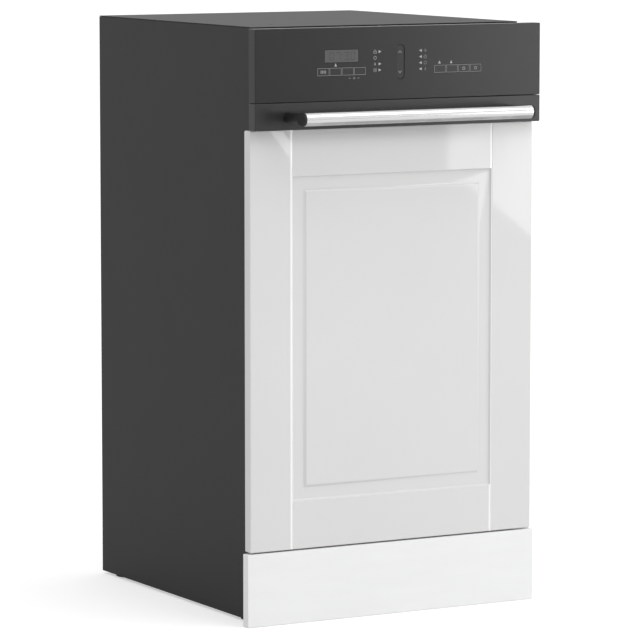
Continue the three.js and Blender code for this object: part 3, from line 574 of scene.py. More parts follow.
def decor_panel():
    """Stiles and rails with a V joint between them, a moulded edge, and a bevelled raised field; the joints'
    faces carry a painted highlight.
    """
    low, high = box("decor_panel")
    panel = piece("decor_front", drawn(plate, "y", low, high, 2.4, 1.8, 4, 4), "white_lacquer", "decor_panel")
    opening = low + Vector((STILE, 0, STILE)), high - Vector((STILE, 0, TOP_RAIL))
    cut_away(panel, drawn(loft, [ring_at(low.y + depth, *opening, inset)
                                 for inset, depth in EDGE_PROFILE + FIELD_PROFILE]))
    # the V joints' cut faces get the lighter lacquer, a painted highlight along the joints
    cut_away(panel, *[
        drawn(prism, "z", [(corner.x + a, low.y + b) for a, b in GROOVE], low.z - 1, high.z + 1)
        for corner in opening
    ], finish="joint_painted_highlight")


def front_shell(name, node, look, *holes):
    """A hollow plastic front with soft outer edges."""
    low, high = box(node)
    made = piece(name, drawn(plate, "y", low, high, 1.1, 0.8, 4, 4), look, node)
    wall = Vector((1, 1, 1)) * FASCIA_WALL
    cut_away(made, drawn(plate, "y", low + wall, high - wall + Vector((0, 2 * FASCIA_WALL, 0))), *holes)


def group_box(nodes):
    """The box round several nodes."""
    boxes = [box(node) for node in nodes]
    return [Vector([pick(b[k][n] for b in boxes) for n in range(3)]) for k, pick in enumerate((min, max))]


def fascia():
    gap, reach = Vector((0.35, 0, 0.35)), Vector((0, 5, 0))
    holes = []
    for nodes in (KEYS[:4], KEYS[4:], ["display_window"], ["rocker_key"]):
        low, high = group_box(nodes)
        low.y = high.y = FRONT
        corner = high.x + gap.x - 0.1 if nodes == ["rocker_key"] else 0.0
        holes.append(drawn(plate, "y", low - gap - reach, high + gap + reach, corner))
    front_shell("fascia_panel", "control_fascia", "gloss_black", *holes)
    # the handle strip takes the copy of the gloss black that is painted lighter for the light it catches
    front_shell("strip_panel", "handle_strip", "gloss_black_painted_lighter")


def bar(bm, x, z, half_x, half_z, front=FRONT):
    """One printed rectangle on a face that looks forward."""
    slab(bm, "y", (x - half_x, x + half_x, z - half_z, z + half_z), front - PRINT, front + PRINT)


def frame_marks(bm, x0, x1, z0, z1, width):
    """A printed rectangle's outline."""
    x, z, half = (x0 + x1) / 2, (z0 + z1) / 2, width / 2
    for edge in (z0 + half, z1 - half):
        bar(bm, x, edge, (x1 - x0) / 2, half)
    for edge in (x0 + half, x1 - half):
        bar(bm, edge, z, half, (z1 - z0) / 2 - width)


def arrow(bm, x, z, half, turn):
    """A small solid triangle that points along turn, in degrees from +X towards +Z."""
    points = [on_circle(math.radians(turn + corner), half, x, z) for corner in (0, 130, 230)]
    prism(bm, "y", points, FRONT - PRINT, FRONT + PRINT)


def chevron(bm, x, z, half, up, front):
    """Two short strokes that meet in a point."""
    across = Vector((0, 0.9 * 0.62))
    for side in (-1, 1):
        end = Vector((x + side * half, z - up * half * 0.55))
        tip = Vector((x, z + up * half * 0.55))
        points = [tuple(q) for q in (end - across, tip - across, tip + across, end + across)]
        prism(bm, "y", points, front - PRINT, front + PRINT)


def glyph(bm, kind, x, z, size):
    """Plain generic signs: a drop, a tray, a ring, a plus and short bars."""
    w, half = size * 0.16, size / 2
    if kind == "bars":
        for n in (-1, 0, 1):
            bar(bm, x + n * size * 0.36, z, w / 2, half)
    elif kind == "wide":
        for n in (-1.5, -0.5, 0.5, 1.5):
            bar(bm, x + n * half, z, w, half * 0.9)
        bar(bm, x, z, size * 0.8, w / 2)
    elif kind == "plus":
        bar(bm, x, z, half, w / 2)
        for up in (-1, 1):
            bar(bm, x, z + up * (half + w / 2) / 2, w / 2, (half - w / 2) / 2)
    elif kind == "tray":
        frame_marks(bm, x - half, x + half, z - half, z + half * 0.4, w)
        bar(bm, x, z + half * 0.85, half * 0.5, half * 0.15)
    elif kind == "ring":
        turns = spokes(14)
        for t, u in zip(turns, turns[1:] + turns[:1]):
            points = [on_circle(q, r, x, z) for r, q in ((half, t), (half, u), (half - w, u), (half - w, t))]
            prism(bm, "y", points, FRONT - PRINT, FRONT + PRINT)
    elif kind == "drop":
        arrow(bm, x, z + half * 0.3, half * 0.7, 90)
        bar(bm, x, z - half * 0.425, half * 0.45, half * 0.325)


def printed_signs():
    """Signs beside the rocker and above and below the keys."""
    middle = centre("rocker_key").z + 2.2
    rows = [middle + n * 8.35 for n in (1.5, 0.5, -0.5, -1.5)]
    lamps, icons, faint = bmesh.new(), bmesh.new(), bmesh.new()
    signs = {-1: ("tray", "ring", "drop", "bars"), 1: ("plus", "tray", "ring", "drop")}
    for side in (-1, 1):
        for n, z in enumerate(rows):
            glyph(icons if side < 0 else faint, signs[side][n], side * 39.6, z, 5)
            if (side, n) != (-1, 1):
                arrow(lamps, side * 32.4, z, 2.6, 0 if side < 0 else 180)
    low, high = box(KEYS[0])
    for x in (-101.1, 62.3, 80.9):
        arrow(lamps, x, high.z + 3.4, 2.6, 90)
    below = low.z - 3.9
    glyph(icons, "plus", -72.4, below, 3.8)
    for x in (-79.2, -65.6):
        bar(faint, x, below, 1.6, 0.6)
    piece("sign_lamps", lamps, "bright_print", body="door")
    piece("printed_signs", icons, "print", body="door")
    piece("faint_signs", faint, "faint_print", body="door")


def keys():
    """Eight press keys, each with a printed outline and some with a sign."""
    signs = {"key_left_1": "wide", "key_right_3": "tray", "key_right_4": "ring"}
    inset = 0.15
    for node in KEYS:
        low, high = box(node)
        cap = drawn(plate, "y", low, high, 0.8, 0.25, 3, 2)
        piece(f"{node}_cap", cap, "key_black", node)
        bm = drawn(frame_marks, low.x + inset, high.x - inset, low.z + inset, high.z - inset, 0.55)
        if node in signs:
            glyph(bm, signs[node], (low.x + high.x) / 2, (low.z + high.z) / 2, 4.6)
        piece(f"{node}_print", bm, "print", body=BODY_OF[node])


SEGMENTS = {"0": "abcdef", "3": "abgcd", "7": "abc"}


def digit(bm, figure, x, z, half_width, half_height, front):
    """One seven-segment figure."""
    t = half_width * 0.3
    side, rise, tall = half_width - t / 2, (half_height - t / 2) / 2, (half_height - 1.5 * t) / 2
    bars = {
        "a": (0, half_height - t / 2, half_width, t / 2), "d": (0, t / 2 - half_height, half_width, t / 2),
        "g": (0, 0, half_width - t, t / 2),
        "f": (-side, rise, t / 2, tall), "b": (side, rise, t / 2, tall),
        "e": (-side, -rise, t / 2, tall), "c": (side, -rise, t / 2, tall),
    }
    for segment in SEGMENTS[figure]:
        dx, dz, half_x, half_z = bars[segment]
        bar(bm, x + dx, z + dz, half_x, half_z, front)


def display():
    low, high = box("display_window")
    piece("display_pane", drawn(plate, "y", low, high, 0.6, 0.2, 3, 2), "display", "display_window")
    bm = bmesh.new()
    middle = (low + high) / 2
    for figure, place in (("0", -15.5), ("7", -5.5), ("3", 7.5), ("0", 17.5)):
        digit(bm, figure, middle.x + place, middle.z, 3.3, 5.4, low.y)
    for rise in (-2.2, 2.2):
        bar(bm, middle.x + 1, middle.z + rise, 0.6, 0.6, low.y)
    piece("display_figures", bm, "digits", body="door")


def rocker():
    low, high = box("rocker_key")
    pad = drawn(plate, "y", low, high - Vector((0, 1.6, 0)), high.x - 0.1, 0.5, 10)
    piece("rocker_pad", pad, "key_black", "rocker_key")
    bm = bmesh.new()
    for up in (-1, 1):
        chevron(bm, 0, (low.z + high.z) / 2 + up * 13.6, 2.6, up, low.y)
    piece("rocker_print", bm, "print", body="rocker_key")


def handle():
    """The chrome bar, and on each end a dark plug with the round post behind it."""
    plug_width, post_radius = 2.5, 7
    low, high = box("handle_bar")
    _, y, z = (low + high) / 2
    radius = (high.z - low.z) / 2
    piece("chrome_bar", drawn(soft_rod, "x", radius, y, z, low.x, high.x, 0.7, 64), "chrome", "handle_bar")
    behind = y + radius + 0.3
    outline = [(behind + 4, z + post_radius), (behind + 4, z - post_radius)]
    outline += [on_circle(math.radians(270 - 180 * n / 24), radius, y, z) for n in range(25)]
    for side, sign in SIDES:
        node = f"handle_post_{side}"
        low, high = box(node)
        outer = low.x if sign < 0 else high.x
        bm = drawn(prism, "x", outline, *sorted((outer, outer - sign * plug_width)))
        soft_rod(bm, "y", post_radius, outer - sign * post_radius, z, behind, high.y, 0.3, 40)
        piece(f"{node}_moulding", bm, "matt_black", node, rounding=0.5)


# ------------------------------------------------------------------ cabinet
SHEET = 1.2


def side_panels():
    """Painted sheet with a hemmed front edge and a flange at the back."""
    hem, flange = 2.4, 12
    at_back = [(0.0, -0.9), (0.3, -0.3), (0.9, 0.0), (flange, 0.0), (flange, -SHEET), (1.7, -SHEET),
               (SHEET, -1.7)]
    at_front = [(SHEET, 11), (hem, 10), (hem, 0.8), (hem - 0.5, 0.0), (0.5, 0.0), (0.0, 0.8)]
    for side, sign in SIDES:
        node = f"{side}_side_panel"
        low, high = box(node)
        out = max(high.x, -low.x)
        ends = ((high.y, at_back), (low.y, at_front))
        outline = [(sign * (out - a), y + b) for y, part in ends for a, b in part]
        piece(f"{node}_sheet", drawn(prism, "z", outline, low.z, high.z), "anthracite_paint", node, sharp=50)


def screw_heads(name, places, y):
    """Pan heads with a round socket, on a face that looks backwards."""
    radius, rise = 3.4, 1.3
    shares = ((1, 0.4), (0.82, 0.85), (0.5, 1), (0.42, 1), (0.38, 0.35), (0.0, 0.3))
    profile = [(0.0, y - 0.2), (radius, y - 0.2), *((radius * r, y + rise * w) for r, w in shares)]
    bm = bmesh.new()
    for x, z in places:
        lathe(bm, "y", x, z, profile, 24)
    piece(name, bm, "bright_steel", body="root")


def covers():
    low, high = box("top_cover")
    top = piece("top_sheet", drawn(plate, "z", low, high, 1.5, 0.5, 3), "anthracite_paint", "top_cover")
    holes = [drawn(soft_rod, "z", 3, x, low.y + 60, low.z - 1, high.z + 1, steps=24) for x in (-150, 150)]
    cut_away(top, *holes)
    refined("back_cover", "galvanised", 0.3)
    low, high = box("back_cover")
    face = high.y - 1.5
    bm = bmesh.new()
    for x in (-110, 0, 110):  # pressed stiffening beads
        slab(bm, "y", (x - 9, x + 9, low.z + 170, high.z - 60), face - 0.3, face + 1.1, 8.9, 1.0)
    piece("back_beads", bm, "galvanised", body="root")
    rows = [low.z + 20 + n * (high.z - low.z - 40) / 5 for n in range(6)]
    places = [(side * (high.x - 9), z) for side in (-1, 1) for z in rows]
    places += [(x, high.z - 9) for x in (-120, -40, 40, 120)]
    screw_heads("back_screws", places, face)


def plinth():
    piece("plinth_board", drawn(plate, "y", *box("plinth"), 1.0, 0.8, 3), "white_board", "plinth")


def feet():
    stem, pitch = 6, 1.5
    for corner, _ in CORNERS:
        node = f"foot_{corner}"
        low, high = box(node)
        x, y, _ = (low + high) / 2
        radius, z = (high.x - low.x) / 2, low.z
        start = z + 5
        profile = [(0.0, z), (radius - 0.8, z), (radius, z + 0.6), (radius - 0.6, z + 1.4), (14, z + 3.6),
                   (stem, z + 3.7)]
        for n in range(int((high.z - start - 2) / pitch)):
            profile += [(stem, start + n * pitch), (stem - 0.8, start + (n + 0.5) * pitch)]
        profile += [(stem - 0.8, high.z - 1), (stem - 2, high.z), (0.0, high.z)]
        piece(f"{node}_turned", drawn(lathe, "z", x, y, profile, 32), "matt_black", node, sharp=40)


def springs():
    coils, per_turn, wire, eye = 80, 10, 0.85, 5.4
    points = coils * per_turn
    for side, _ in SIDES:
        node = f"balance_spring_{side}"
        low, high = box(node)
        x, _, z = (low + high) / 2
        radius = (high.z - low.z) / 2 - 0.9
        y0, y1 = low.y + 24, low.y + 244
        path = [(x, *on_circle(math.radians(40 + 300 * n / 14), eye, low.y + 7, z)) for n in range(15)]
        path += [(x, y0 - 6, z), (x, y0 - 2, z)]
        for n in range(points + 1):
            t = 2 * math.pi * n / per_turn
            reach = radius * min(1.0, n / per_turn, (points - n) / per_turn)
            path.append((x + reach * math.sin(t), y0 + (y1 - y0) * n / points, z + reach * math.cos(t)))
        path += [(x, y1 + 4, z), (x, high.y - 20, z)]
        path += [(x, *on_circle(math.radians(220 - 300 * n / 14), eye, high.y - 7, z)) for n in range(15)]
        piece(f"{node}_coil", drawn(tube, path, wire, sides=6), "spring_steel", node, sharp=60)


# ------------------------------------------------------------------ tub and what is in it
TUB_WALL = 1.2
tub_low, tub_high = box("tub")
TUB_HALF, TUB_CORNER = 190, 28
TUB_FLOOR, TUB_CEILING = tub_low.z + 14, tub_high.z - 8
TUB_Y = tub_low.y - 38  # depths in the tub are counted from a plane 38 mm in front of its mouth


def tub():
    """A drawn steel tub with a flange round its mouth, round inner corners and pressed beads."""
    front, back = tub_low.y, tub_high.y - TUB_WALL
    shell = Vector((-TUB_HALF, 0, TUB_FLOOR)), Vector((TUB_HALF, 0, TUB_CEILING))
    round_back = 22

    def ring(inset, y):
        return ring_at(y, *shell, inset, max(TUB_CORNER - inset, 4))

    def flange(y):
        return ring_at(y, tub_low, tub_high, 0.0, 6)

    def back_rings(out):
        turns = [math.radians(15 * n) for n in range(7)]
        return [ring(round_back * (1 - math.sin(t)) - out, back + out - round_back * (1 - math.cos(t)))
                for t in turns]

    mouth = [ring(0.0, front + 3), ring(-0.4, front + 1.4), ring(-1.6, front + 0.3), ring(-3, front)]
    flanges = [flange(front), flange(front + 2), ring(-3, front + 2), ring(-TUB_WALL, front + 4)]
    rings = [*back_rings(0.0), *mouth, *flanges, *reversed(back_rings(TUB_WALL))]
    made = piece("tub_shell", drawn(loft, rings), "stainless", "tub")
    cut_away(made, *[
        drawn(soft_rod, "z", radius, *centre(node).xy, TUB_FLOOR - 6, TUB_FLOOR + 3, steps=64)
        for node, radius in (("filter_plate", 74), ("salt_cap", 34))
    ])
    bm = bmesh.new()
    ledges = (178, 45, 430, 153, 157), (181, 46, 110, 432, 437.7), (181, 46, 110, 464.3, 470)
    for side in (-1, 1):
        for near, y0, y1, z0, z1 in ledges:
            ends = sorted((side * near, side * (TUB_HALF + 0.6)))
            slab(bm, "y", (*ends, z0, z1), y0 + TUB_Y, y1 + TUB_Y, 1.2, 0.8, steps=3)
        for y in (120, 245, 370):
            for z0, z1 in ((205, 405), (490, 745)):
                ends = sorted((side * (TUB_HALF + 0.6), side * (TUB_HALF - 1.3)))
                slab(bm, "x", (y + TUB_Y - 11, y + TUB_Y + 11, z0, z1), *ends, 10.9, 1.2)
    piece("tub_ledges", bm, "stainless", body="root")


def door_seal():
    low, high = box("door_seal")
    width, depth = 8.4, high.y - low.y
    profile = [(0.0, 0.1), (0.2, 0.0), (0.8, 0.0), (1.0, 0.1), (1.0, 0.45), (0.82, 0.8), (0.6, 0.97),
               (0.4, 0.97), (0.3, 0.72), (0.2, 0.6), (0.0, 0.55)]
    rings = [ring_at(low.y + b * depth, low, high, a * width, 24 - a * width * 0.5) for a, b in profile]
    piece("seal_lip", drawn(loft, rings, cyclic=True), "seal_rubber", "door_seal", sharp=50)


def perforated_plate():
    """The filter plate: a rim, a steel field of hexagonal cells round the fine filter's hole."""
    low, high = box("filter_plate")
    x0, y0, _ = (low + high) / 2
    fx, fy, _ = centre("fine_filter")
    px, py, _ = centre("lower_spray_arm")
    radius, z0, z1 = (high.x - low.x) / 2, low.z, high.z
    bm = bmesh.new()
    for x, y, inner, outer in ((x0, y0, radius - 6, radius), (fx, fy, 28.6, 33), (px, py, 14, 19)):
        lathe(bm, "z", x, y, [(inner, z0), (outer, z0), (outer, z1 - 0.4), (outer - 0.4, z1),
                              (inner + 0.4, z1), (inner, z1 - 0.4)], 64)
    pitch, hole = 4.2, 1.45
    cell = pitch / math.sqrt(3)
    top, bottom = z1 - 0.5, z0 + 0.3
    halfway = (top + bottom) / 2
    reach = 2 * (int(radius / pitch) + 1)
    verts = {}

    def corner(x, y, size, k, z):
        """A cell's corner, shared with its neighbours."""
        x, y = on_circle(math.radians(60 * k + 30), size, x, y)
        key = (round(x, 3), round(y, 3), z > halfway)
        if key not in verts:
            verts[key] = bm.verts.new((x, y, z))
        return verts[key]

    for row in range(-reach, reach):
        for column in range(-reach, reach):
            x, y = x0 + (column + 0.5 * (row % 2)) * pitch, y0 + row * pitch * math.sqrt(3) / 2
            in_hole = math.hypot(x - fx, y - fy) < 31.5 or math.hypot(x - px, y - py) < 17
            if in_hole or math.hypot(x - x0, y - y0) > radius - 3.6:
                continue
            for k in range(6):
                m = (k + 1) % 6
                for z in (bottom, top):
                    ring = ((cell, k), (cell, m), (hole, m), (hole, k))
                    bm.faces.new([corner(x, y, size, j, z) for size, j in ring])
                wall = ((k, bottom), (m, bottom), (m, top), (k, top))
                bm.faces.new([corner(x, y, hole, j, z) for j, z in wall])
    # the outer rim of the cell field is closed between its two faces
    key_of = {vert: key for key, vert in verts.items()}
    for e in [e for e in bm.edges if e.is_boundary and e.verts[0].co.z > halfway]:
        a, b = e.verts
        lower = [verts.get((*key_of[v][:2], False)) for v in (a, b)]
        if all(lower):
            bm.faces.new((a, b, lower[1], lower[0]))
    piece("filter_screen", bm, "bright_steel", "filter_plate")


def ribs(bm, axis, a, b, radius, w0, w1, count, thickness, sides=8):
    """Thin rods round a turned body."""
    for t in spokes(count):
        place = on_circle(t, radius, a, b)
        tube(bm, [spot(axis, *place, w) for w in (w0, w1)], thickness, sides=sides)


def fine_filter():
    low, high = box("fine_filter")
    x, y, _ = (low + high) / 2
    radius, z0, z1 = (high.x - low.x) / 2, low.z, high.z - 3.5
    wall = 1.6
    bm = drawn(lathe, "z", x, y, [
        (0.0, z0), (radius - 3, z0), (radius - 1, z0 + 1), (radius - 1, z1 - 12), (radius, z1 - 11),
        (radius, z1 - 0.5), (radius - 0.5, z1), (radius - wall, z1), (radius - wall - 1, z1 - 10),
        (radius - wall - 1, z0 + wall), (0.0, z0 + wall),
    ], 48)
    ribs(bm, "z", x, y, radius - 0.9, z0 + 1, z1 - 11, 12, 0.9)
    slab(bm, "z", (x - radius + 1.4, x + radius - 1.4, y - 3, y + 3), high.z - 13.5, high.z, 2.9, 1.2)
    piece("filter_cup", bm, "grey_plastic", "fine_filter")


def salt_cap():
    low, high = box("salt_cap")
    x, y, _ = (low + high) / 2
    radius, lid = (high.x - low.x) / 2, high.z - 8.2
    bm = drawn(lathe, "z", x, y, [
        (0.0, low.z), (26, low.z), (26.5, low.z + 0.5), (26.5, lid), (radius - 0.6, lid), (radius, lid + 0.6),
        (radius, lid + 3), (radius - 1.7, lid + 4.7), (radius - 6, lid + 4.7), (radius - 8, lid + 3.6),
        (0.0, lid + 3.6),
    ], 64)
    slab(bm, "z", (x - 24, x + 24, y - 4, y + 4), lid + 3, high.z, 3.9, 1.2)
    ribs(bm, "z", x, y, radius - 0.25, lid + 0.8, lid + 2.9, 24, 0.9, 6)
    piece("salt_lid", bm, "grey_plastic", "salt_cap")
    refined("salt_container", "light_plastic", 0.8)


def arm_outline(reach, hub, tip):
    """Both blades of a spray arm, broad at the hub, drawn in to round tips."""
    steps = 14
    points = []
    for turn, c in ((0.0, 1), (math.pi, -1)):
        for n in range(steps + 1):
            points.append(on_circle(turn - math.pi / 2 + math.pi * n / steps, tip, c * (reach - tip)))
        for n in range(1, steps):
            angle = math.pi * n / steps
            points.append((c * hub * 1.4 * math.cos(angle), c * (tip + (hub - tip) * math.sin(angle))))
    return points


def spray_arm(node, spindle):
    low, high = box(node)
    x, y, _ = (low + high) / 2
    reach = (high.x - low.x) / 2
    z0, z1 = low.z + 2, high.z - 3
    middle, half = (z0 + z1) / 2, (z1 - z0) / 2
    hub, tip, rim = 21, 15, 19
    rings = []
    for t in (math.radians(22.5 * n - 90) for n in range(9)):  # the cross-section swells towards its middle
        inset = 4 * (1 - math.cos(t))
        outline = arm_outline(reach - inset, hub - inset * 0.5, tip - inset)
        rings.append([(x + a, y + b, middle + half * math.sin(t)) for a, b in outline])
    arm = piece(f"{node}_blades", drawn(loft, rings), "grey_plastic", node)
    cut_away(arm, drawn(soft_rod, "z", spindle + 3, x, y, low.z - 1, high.z + 1, steps=48))
    nozzles = [(x + side * share * reach, y + side * (4.5 if n % 2 else -4.5))
               for side in (-1, 1) for n, share in enumerate((0.27, 0.42, 0.57, 0.72, 0.86))]
    seat = [(1.3, z1 - 2), (4, z1 - 2), (3.6, z1 - 0.2), (2.8, z1 + 0.5), (1.3, z1 + 0.1)]
    hub_bm = drawn(lathe, "z", x, y, [
        (spindle, low.z), (rim - 1.5, low.z), (rim, low.z + 1.5), (rim, high.z - 1.5), (rim - 1.5, high.z),
        (spindle, high.z)], 48)
    jets = bmesh.new()
    for place in nozzles:
        lathe(hub_bm, "z", *place, seat, 20)
        soft_rod(jets, "z", 1.25, *place, z1 - 3, z1 - 0.3, steps=12)
    piece(f"{node}_hub", hub_bm, "grey_plastic", body=node)
    piece(f"{node}_jets", jets, "matt_black", body=node)


def sump_and_pumps():
    refined("sump", "grey_plastic", 0.5)
    top = box("sump")[1].z
    nut = [(0.0, top - 4.6), (12.5, top - 4.6), (12.5, top - 1.5), (10, top), (0.0, top + 0.4)]
    spindle_nut = drawn(lathe, "z", *centre("lower_spray_arm").xy, nut)  # keeps the lower arm on its spindle
    piece("spindle_nut", spindle_nut, "grey_plastic", body="root")
    low, high = box("circulation_pump")
    x, z = -96, 74
    head = ((0.0, 0), (20, 0), (22, 2), (38, 3), (43, 8), (43, 30), (36, 33))
    profile = [(r, low.y + w) for r, w in head]
    for start in (low.y + 38 + 7 * n for n in range(11)):  # cooling fins
        profile += [(34, start), (34, start + 3), (36, start + 3.3), (36, start + 5.7)]
    profile += [(34, high.y - 8), (30, high.y - 1), (12, high.y - 1), (10, high.y), (0.0, high.y)]
    bm = drawn(lathe, "y", x, z, profile, 48)
    soft_rod(bm, "x", 11, low.y + 85, 92, x, high.x)
    soft_box(bm, (x - 20, low.y + 40, low.z), (x + 20, low.y + 120, z), 2)
    piece("wash_pump", bm, "pump_black", "circulation_pump")
    low, high = box("drain_pump")
    y, z = low.y + 27, 50
    bm = drawn(lathe, "x", y, z, [
        (0.0, low.x), (25, low.x), (27, low.x + 2), (27, low.x + 17), (22, low.x + 19), (22, high.x - 3),
        (19, high.x), (0.0, high.x)], 48)
    soft_rod(bm, "y", 9, low.x + 7.7, z + 5, y, high.y, 1)
    piece("waste_pump", bm, "pump_black", "drain_pump")
    refined("inlet_valve", "light_plastic", 0.5)


def duct():
    low, high = box("spray_duct")
    arm_y = centre("lower_spray_arm").y
    half = 14
    bm = drawn(soft_box, (-half, high.y - 14, low.z), (half, high.y, high.z), 3)
    soft_box(bm, (-half, arm_y, high.z - 11), (half, high.y - 2, high.z), 3, "y")
    lathe(bm, "z", 0.0, arm_y, [
        (0.0, high.z - 20), (22, high.z - 20), (26, high.z - 17), (26, high.z - 12), (20, high.z - 8),
        (0.0, high.z - 8)], 48)
    for z in (low.z + 120, low.z + 420, low.z + 590):  # clips
        soft_box(bm, (-half - 5, high.y - 15.2, z), (half + 5, high.y - 0.5, z + 14), 1.5)
    soft_box(bm, (-8, low.y + 175, 419), (8, high.y - 12, 431), 2, "y")
    piece("water_duct", bm, "grey_plastic", "spray_duct")
    bm = bmesh.new()
    for ring, count in ((6, 6), (13, 12), (20, 18)):
        for t in spokes(count):
            soft_rod(bm, "z", 1.1, *on_circle(t, ring, 0.0, arm_y), high.z - 20.2, high.z - 18, steps=10)
    piece("shower_jets", bm, "matt_black", body="root")


# ------------------------------------------------------------------ baskets
def wire_rack(level, half, z0, rear_gap, tine_columns, tine_height):
    """Loops round rim, middle and base, hoops under and up both sides, rows of plate tines, and a grip."""
    node = f"{level}_basket"
    low, high = box(node)
    y0, y1, z1 = low.y + 3, high.y - rear_gap, high.z - 6
    rim, thin, pitches, lean = 2.0, 1.45, 15, 9
    bm = bmesh.new()
    for z, radius, out in ((z1, rim, 0.0), ((z0 + z1) / 2, thin, 0.0), (z0, thin, -1.5)):
        outline = rounded_rectangle(-half - out, half + out, y0 - out, y1 + out, 14, 5)
        tube(bm, [(x, y, z) for x, y in outline], radius, closed=True)
    for n in range(1, pitches):
        y = y0 + (y1 - y0) * n / pitches
        tube(bm, filleted([(-half, y, z1), (-half, y, z0), (half, y, z0), (half, y, z1)], 9), thin)
    for n in range(1, pitches):
        x = -half + 2 * half * n / pitches
        tube(bm, filleted([(x, y0, z1), (x, y0, z0 - 1.2), (x, y1, z0 - 1.2), (x, y1, z1)], 9), thin)
    start, end = y0 + 30, y1 - 40
    count = int((end - start) / 24)
    for x in tine_columns:
        tube(bm, [(x, start - 8, z0 + 2.4), (x, end + 8, z0 + 2.4)], thin)
        for n in range(count + 1):
            y = start + (end - start) * n / count
            tine = ((-4, 2), (lean - 4, tine_height), (lean + 4, tine_height), (4, 2))
            tube(bm, filleted([(x, y + dy, z0 + dz) for dy, dz in tine], 4), 1.25, sides=6)
    piece(f"{level}_rack_wires", bm, "basket_coating", node, sharp=60)
    bm = drawn(soft_box, (-45, low.y, z1 - 12), (45, low.y + 8, z1 + 6), 2.5)
    grip = piece(f"{level}_rack_grip", bm, "light_plastic", body=BODY_OF[node])
    cut_away(grip, drawn(slab, "y", (-34, 34, z1 - 8.5, z1 - 3.5), low.y - 1, low.y + 3, 2.4))
    return low, high


def lower_rack():
    half = 172
    _, high = wire_rack("lower", half, 176.5, 1.5, (-132, -72, -12, 48), 62)
    bm = bmesh.new()
    for corner, sign in CORNERS:
        _, y, z = centre(f"basket_wheel_{corner}")
        ends = sorted((sign * (half - 3), sign * (half + 5.5)))
        slab(bm, "x", (y - 9, y + 9, z - 7, z + 14), *ends, 4, 1)
        soft_rod(bm, "x", 4, y, z, *sorted((sign * half, sign * (high.x - 0.1))), 0.6)
    piece("wheel_carriers", bm, "grey_plastic", body="lower_rack")


def wheels():
    for corner, _ in CORNERS:
        node = f"basket_wheel_{corner}"
        low, high = box(node)
        x, y, z = (low + high) / 2
        radius, x0, x1, depth = (high.z - low.z) / 2, low.x, high.x, high.x - low.x
        web0, web1 = x0 + depth * 0.3, x1 - depth * 0.3
        bm = drawn(lathe, "x", y, z, [
            (4.4, x0), (7, x0), (7.4, web0), (radius - 4, web0), (radius - 3, x0), (radius - 0.7, x0),
            (radius, x0 + 0.7), (radius, x1 - 0.7), (radius - 0.7, x1), (radius - 3, x1), (radius - 4, web1),
            (7.4, web1), (7, x1), (4.4, x1),
        ], 48)
        for t in spokes(6):
            tube(bm, [(x, *on_circle(t, r, y, z)) for r in (6.5, 14.6)], depth * 0.42)
        piece(f"{node}_moulding", bm, "grey_plastic", node)


def cutlery_basket():
    node = "cutlery_basket"
    low, high = box(node)
    rim, wall = high.z - 38, 2.2
    shape = drawn(slab, "z", (low.x, high.x, low.y, high.y), low.z, rim, 6, 1.2)
    body = piece("cutlery_body", shape, "grey_plastic", node)
    cell = (high.y - low.y - wall) / 4
    cells = [
        drawn(slab, "z", (low.x + wall, high.x - wall, low.y + wall + n * cell, low.y + (n + 1) * cell),
              low.z + wall, rim + 1, 4, steps=4) for n in range(4)
    ]
    across, along = bmesh.new(), bmesh.new()
    rows = [low.z + 11 + 16 * k for k in range(6)]
    slots = ((low.y + wall + n * cell + 9 + 16.5 * j, z) for n in range(4) for z in rows for j in range(3))
    for y, z in slots:
        slab(across, "x", (y, y + 12, z, z + 11), low.x - 1, high.x + 1, 2.5, steps=3)
    for x, z in ((low.x + 5.5 + 16 * j, z) for z in rows for j in range(4)):
        slab(along, "y", (x, x + 12, z, z + 11), low.y - 1, high.y + 1, 2.5, steps=3)
    cut_away(body, *cells, across, along)
    x, y0, y1, foot, top = (low.x + high.x) / 2, low.y + 44, high.y - 44, rim - 30, high.z - 4.6
    hoop = filleted([(x, y0, foot), (x, y0, top), (x, y1, top), (x, y1, foot)], 22, 8)
    piece("cutlery_grip", drawn(tube, hoop, 4.2, sides=16), "grey_plastic", body="lower_rack")


def upper_rack():
    half, z0 = 171, 432
    low, high = wire_rack("upper", half, z0, 3, (-60, 0, 60), 44)
    y0, shelf, top = low.y + 3, z0 + 62, high.z - 14
    x, arm_y, _ = centre("upper_spray_arm")
    bm = bmesh.new()
    for side in (-1, 1):  # guides that ride in the rails
        for y in (100 + TUB_Y, 340 + TUB_Y):
            slab(bm, "x", (y, y + 35, 444, 458), *sorted((side * (half - 1), side * high.x)), 3, 0.8)
    soft_box(bm, (-8, arm_y, 420), (8, high.y, z0), 3, "y")
    lathe(bm, "z", x, arm_y, [
        (0.0, low.z), (8, low.z), (8, 417), (12, 418), (12, z0 + 2), (9, z0 + 4), (0.0, z0 + 4)])
    for side in (-1, 1):  # cup shelves, folded against the sides
        near, far = side * (half - 5), side * (half - 9)
        for y in (y0 + 40 + 38 * n for n in range(8)):
            path = filleted([(near, y, shelf), (far, y, top), (far, y + 19, top), (near, y + 19, shelf)], 6)
            tube(bm, path, 1.3, sides=6)
        tube(bm, [(near, y0 + 30, shelf), (near, y0 + 330, shelf)], 1.6)
    piece("upper_rack_fittings", bm, "grey_plastic", body="upper_rack")


def rails():
    for side, _ in SIDES:
        refined(f"rack_rail_{side}", "bright_steel", 0.3)


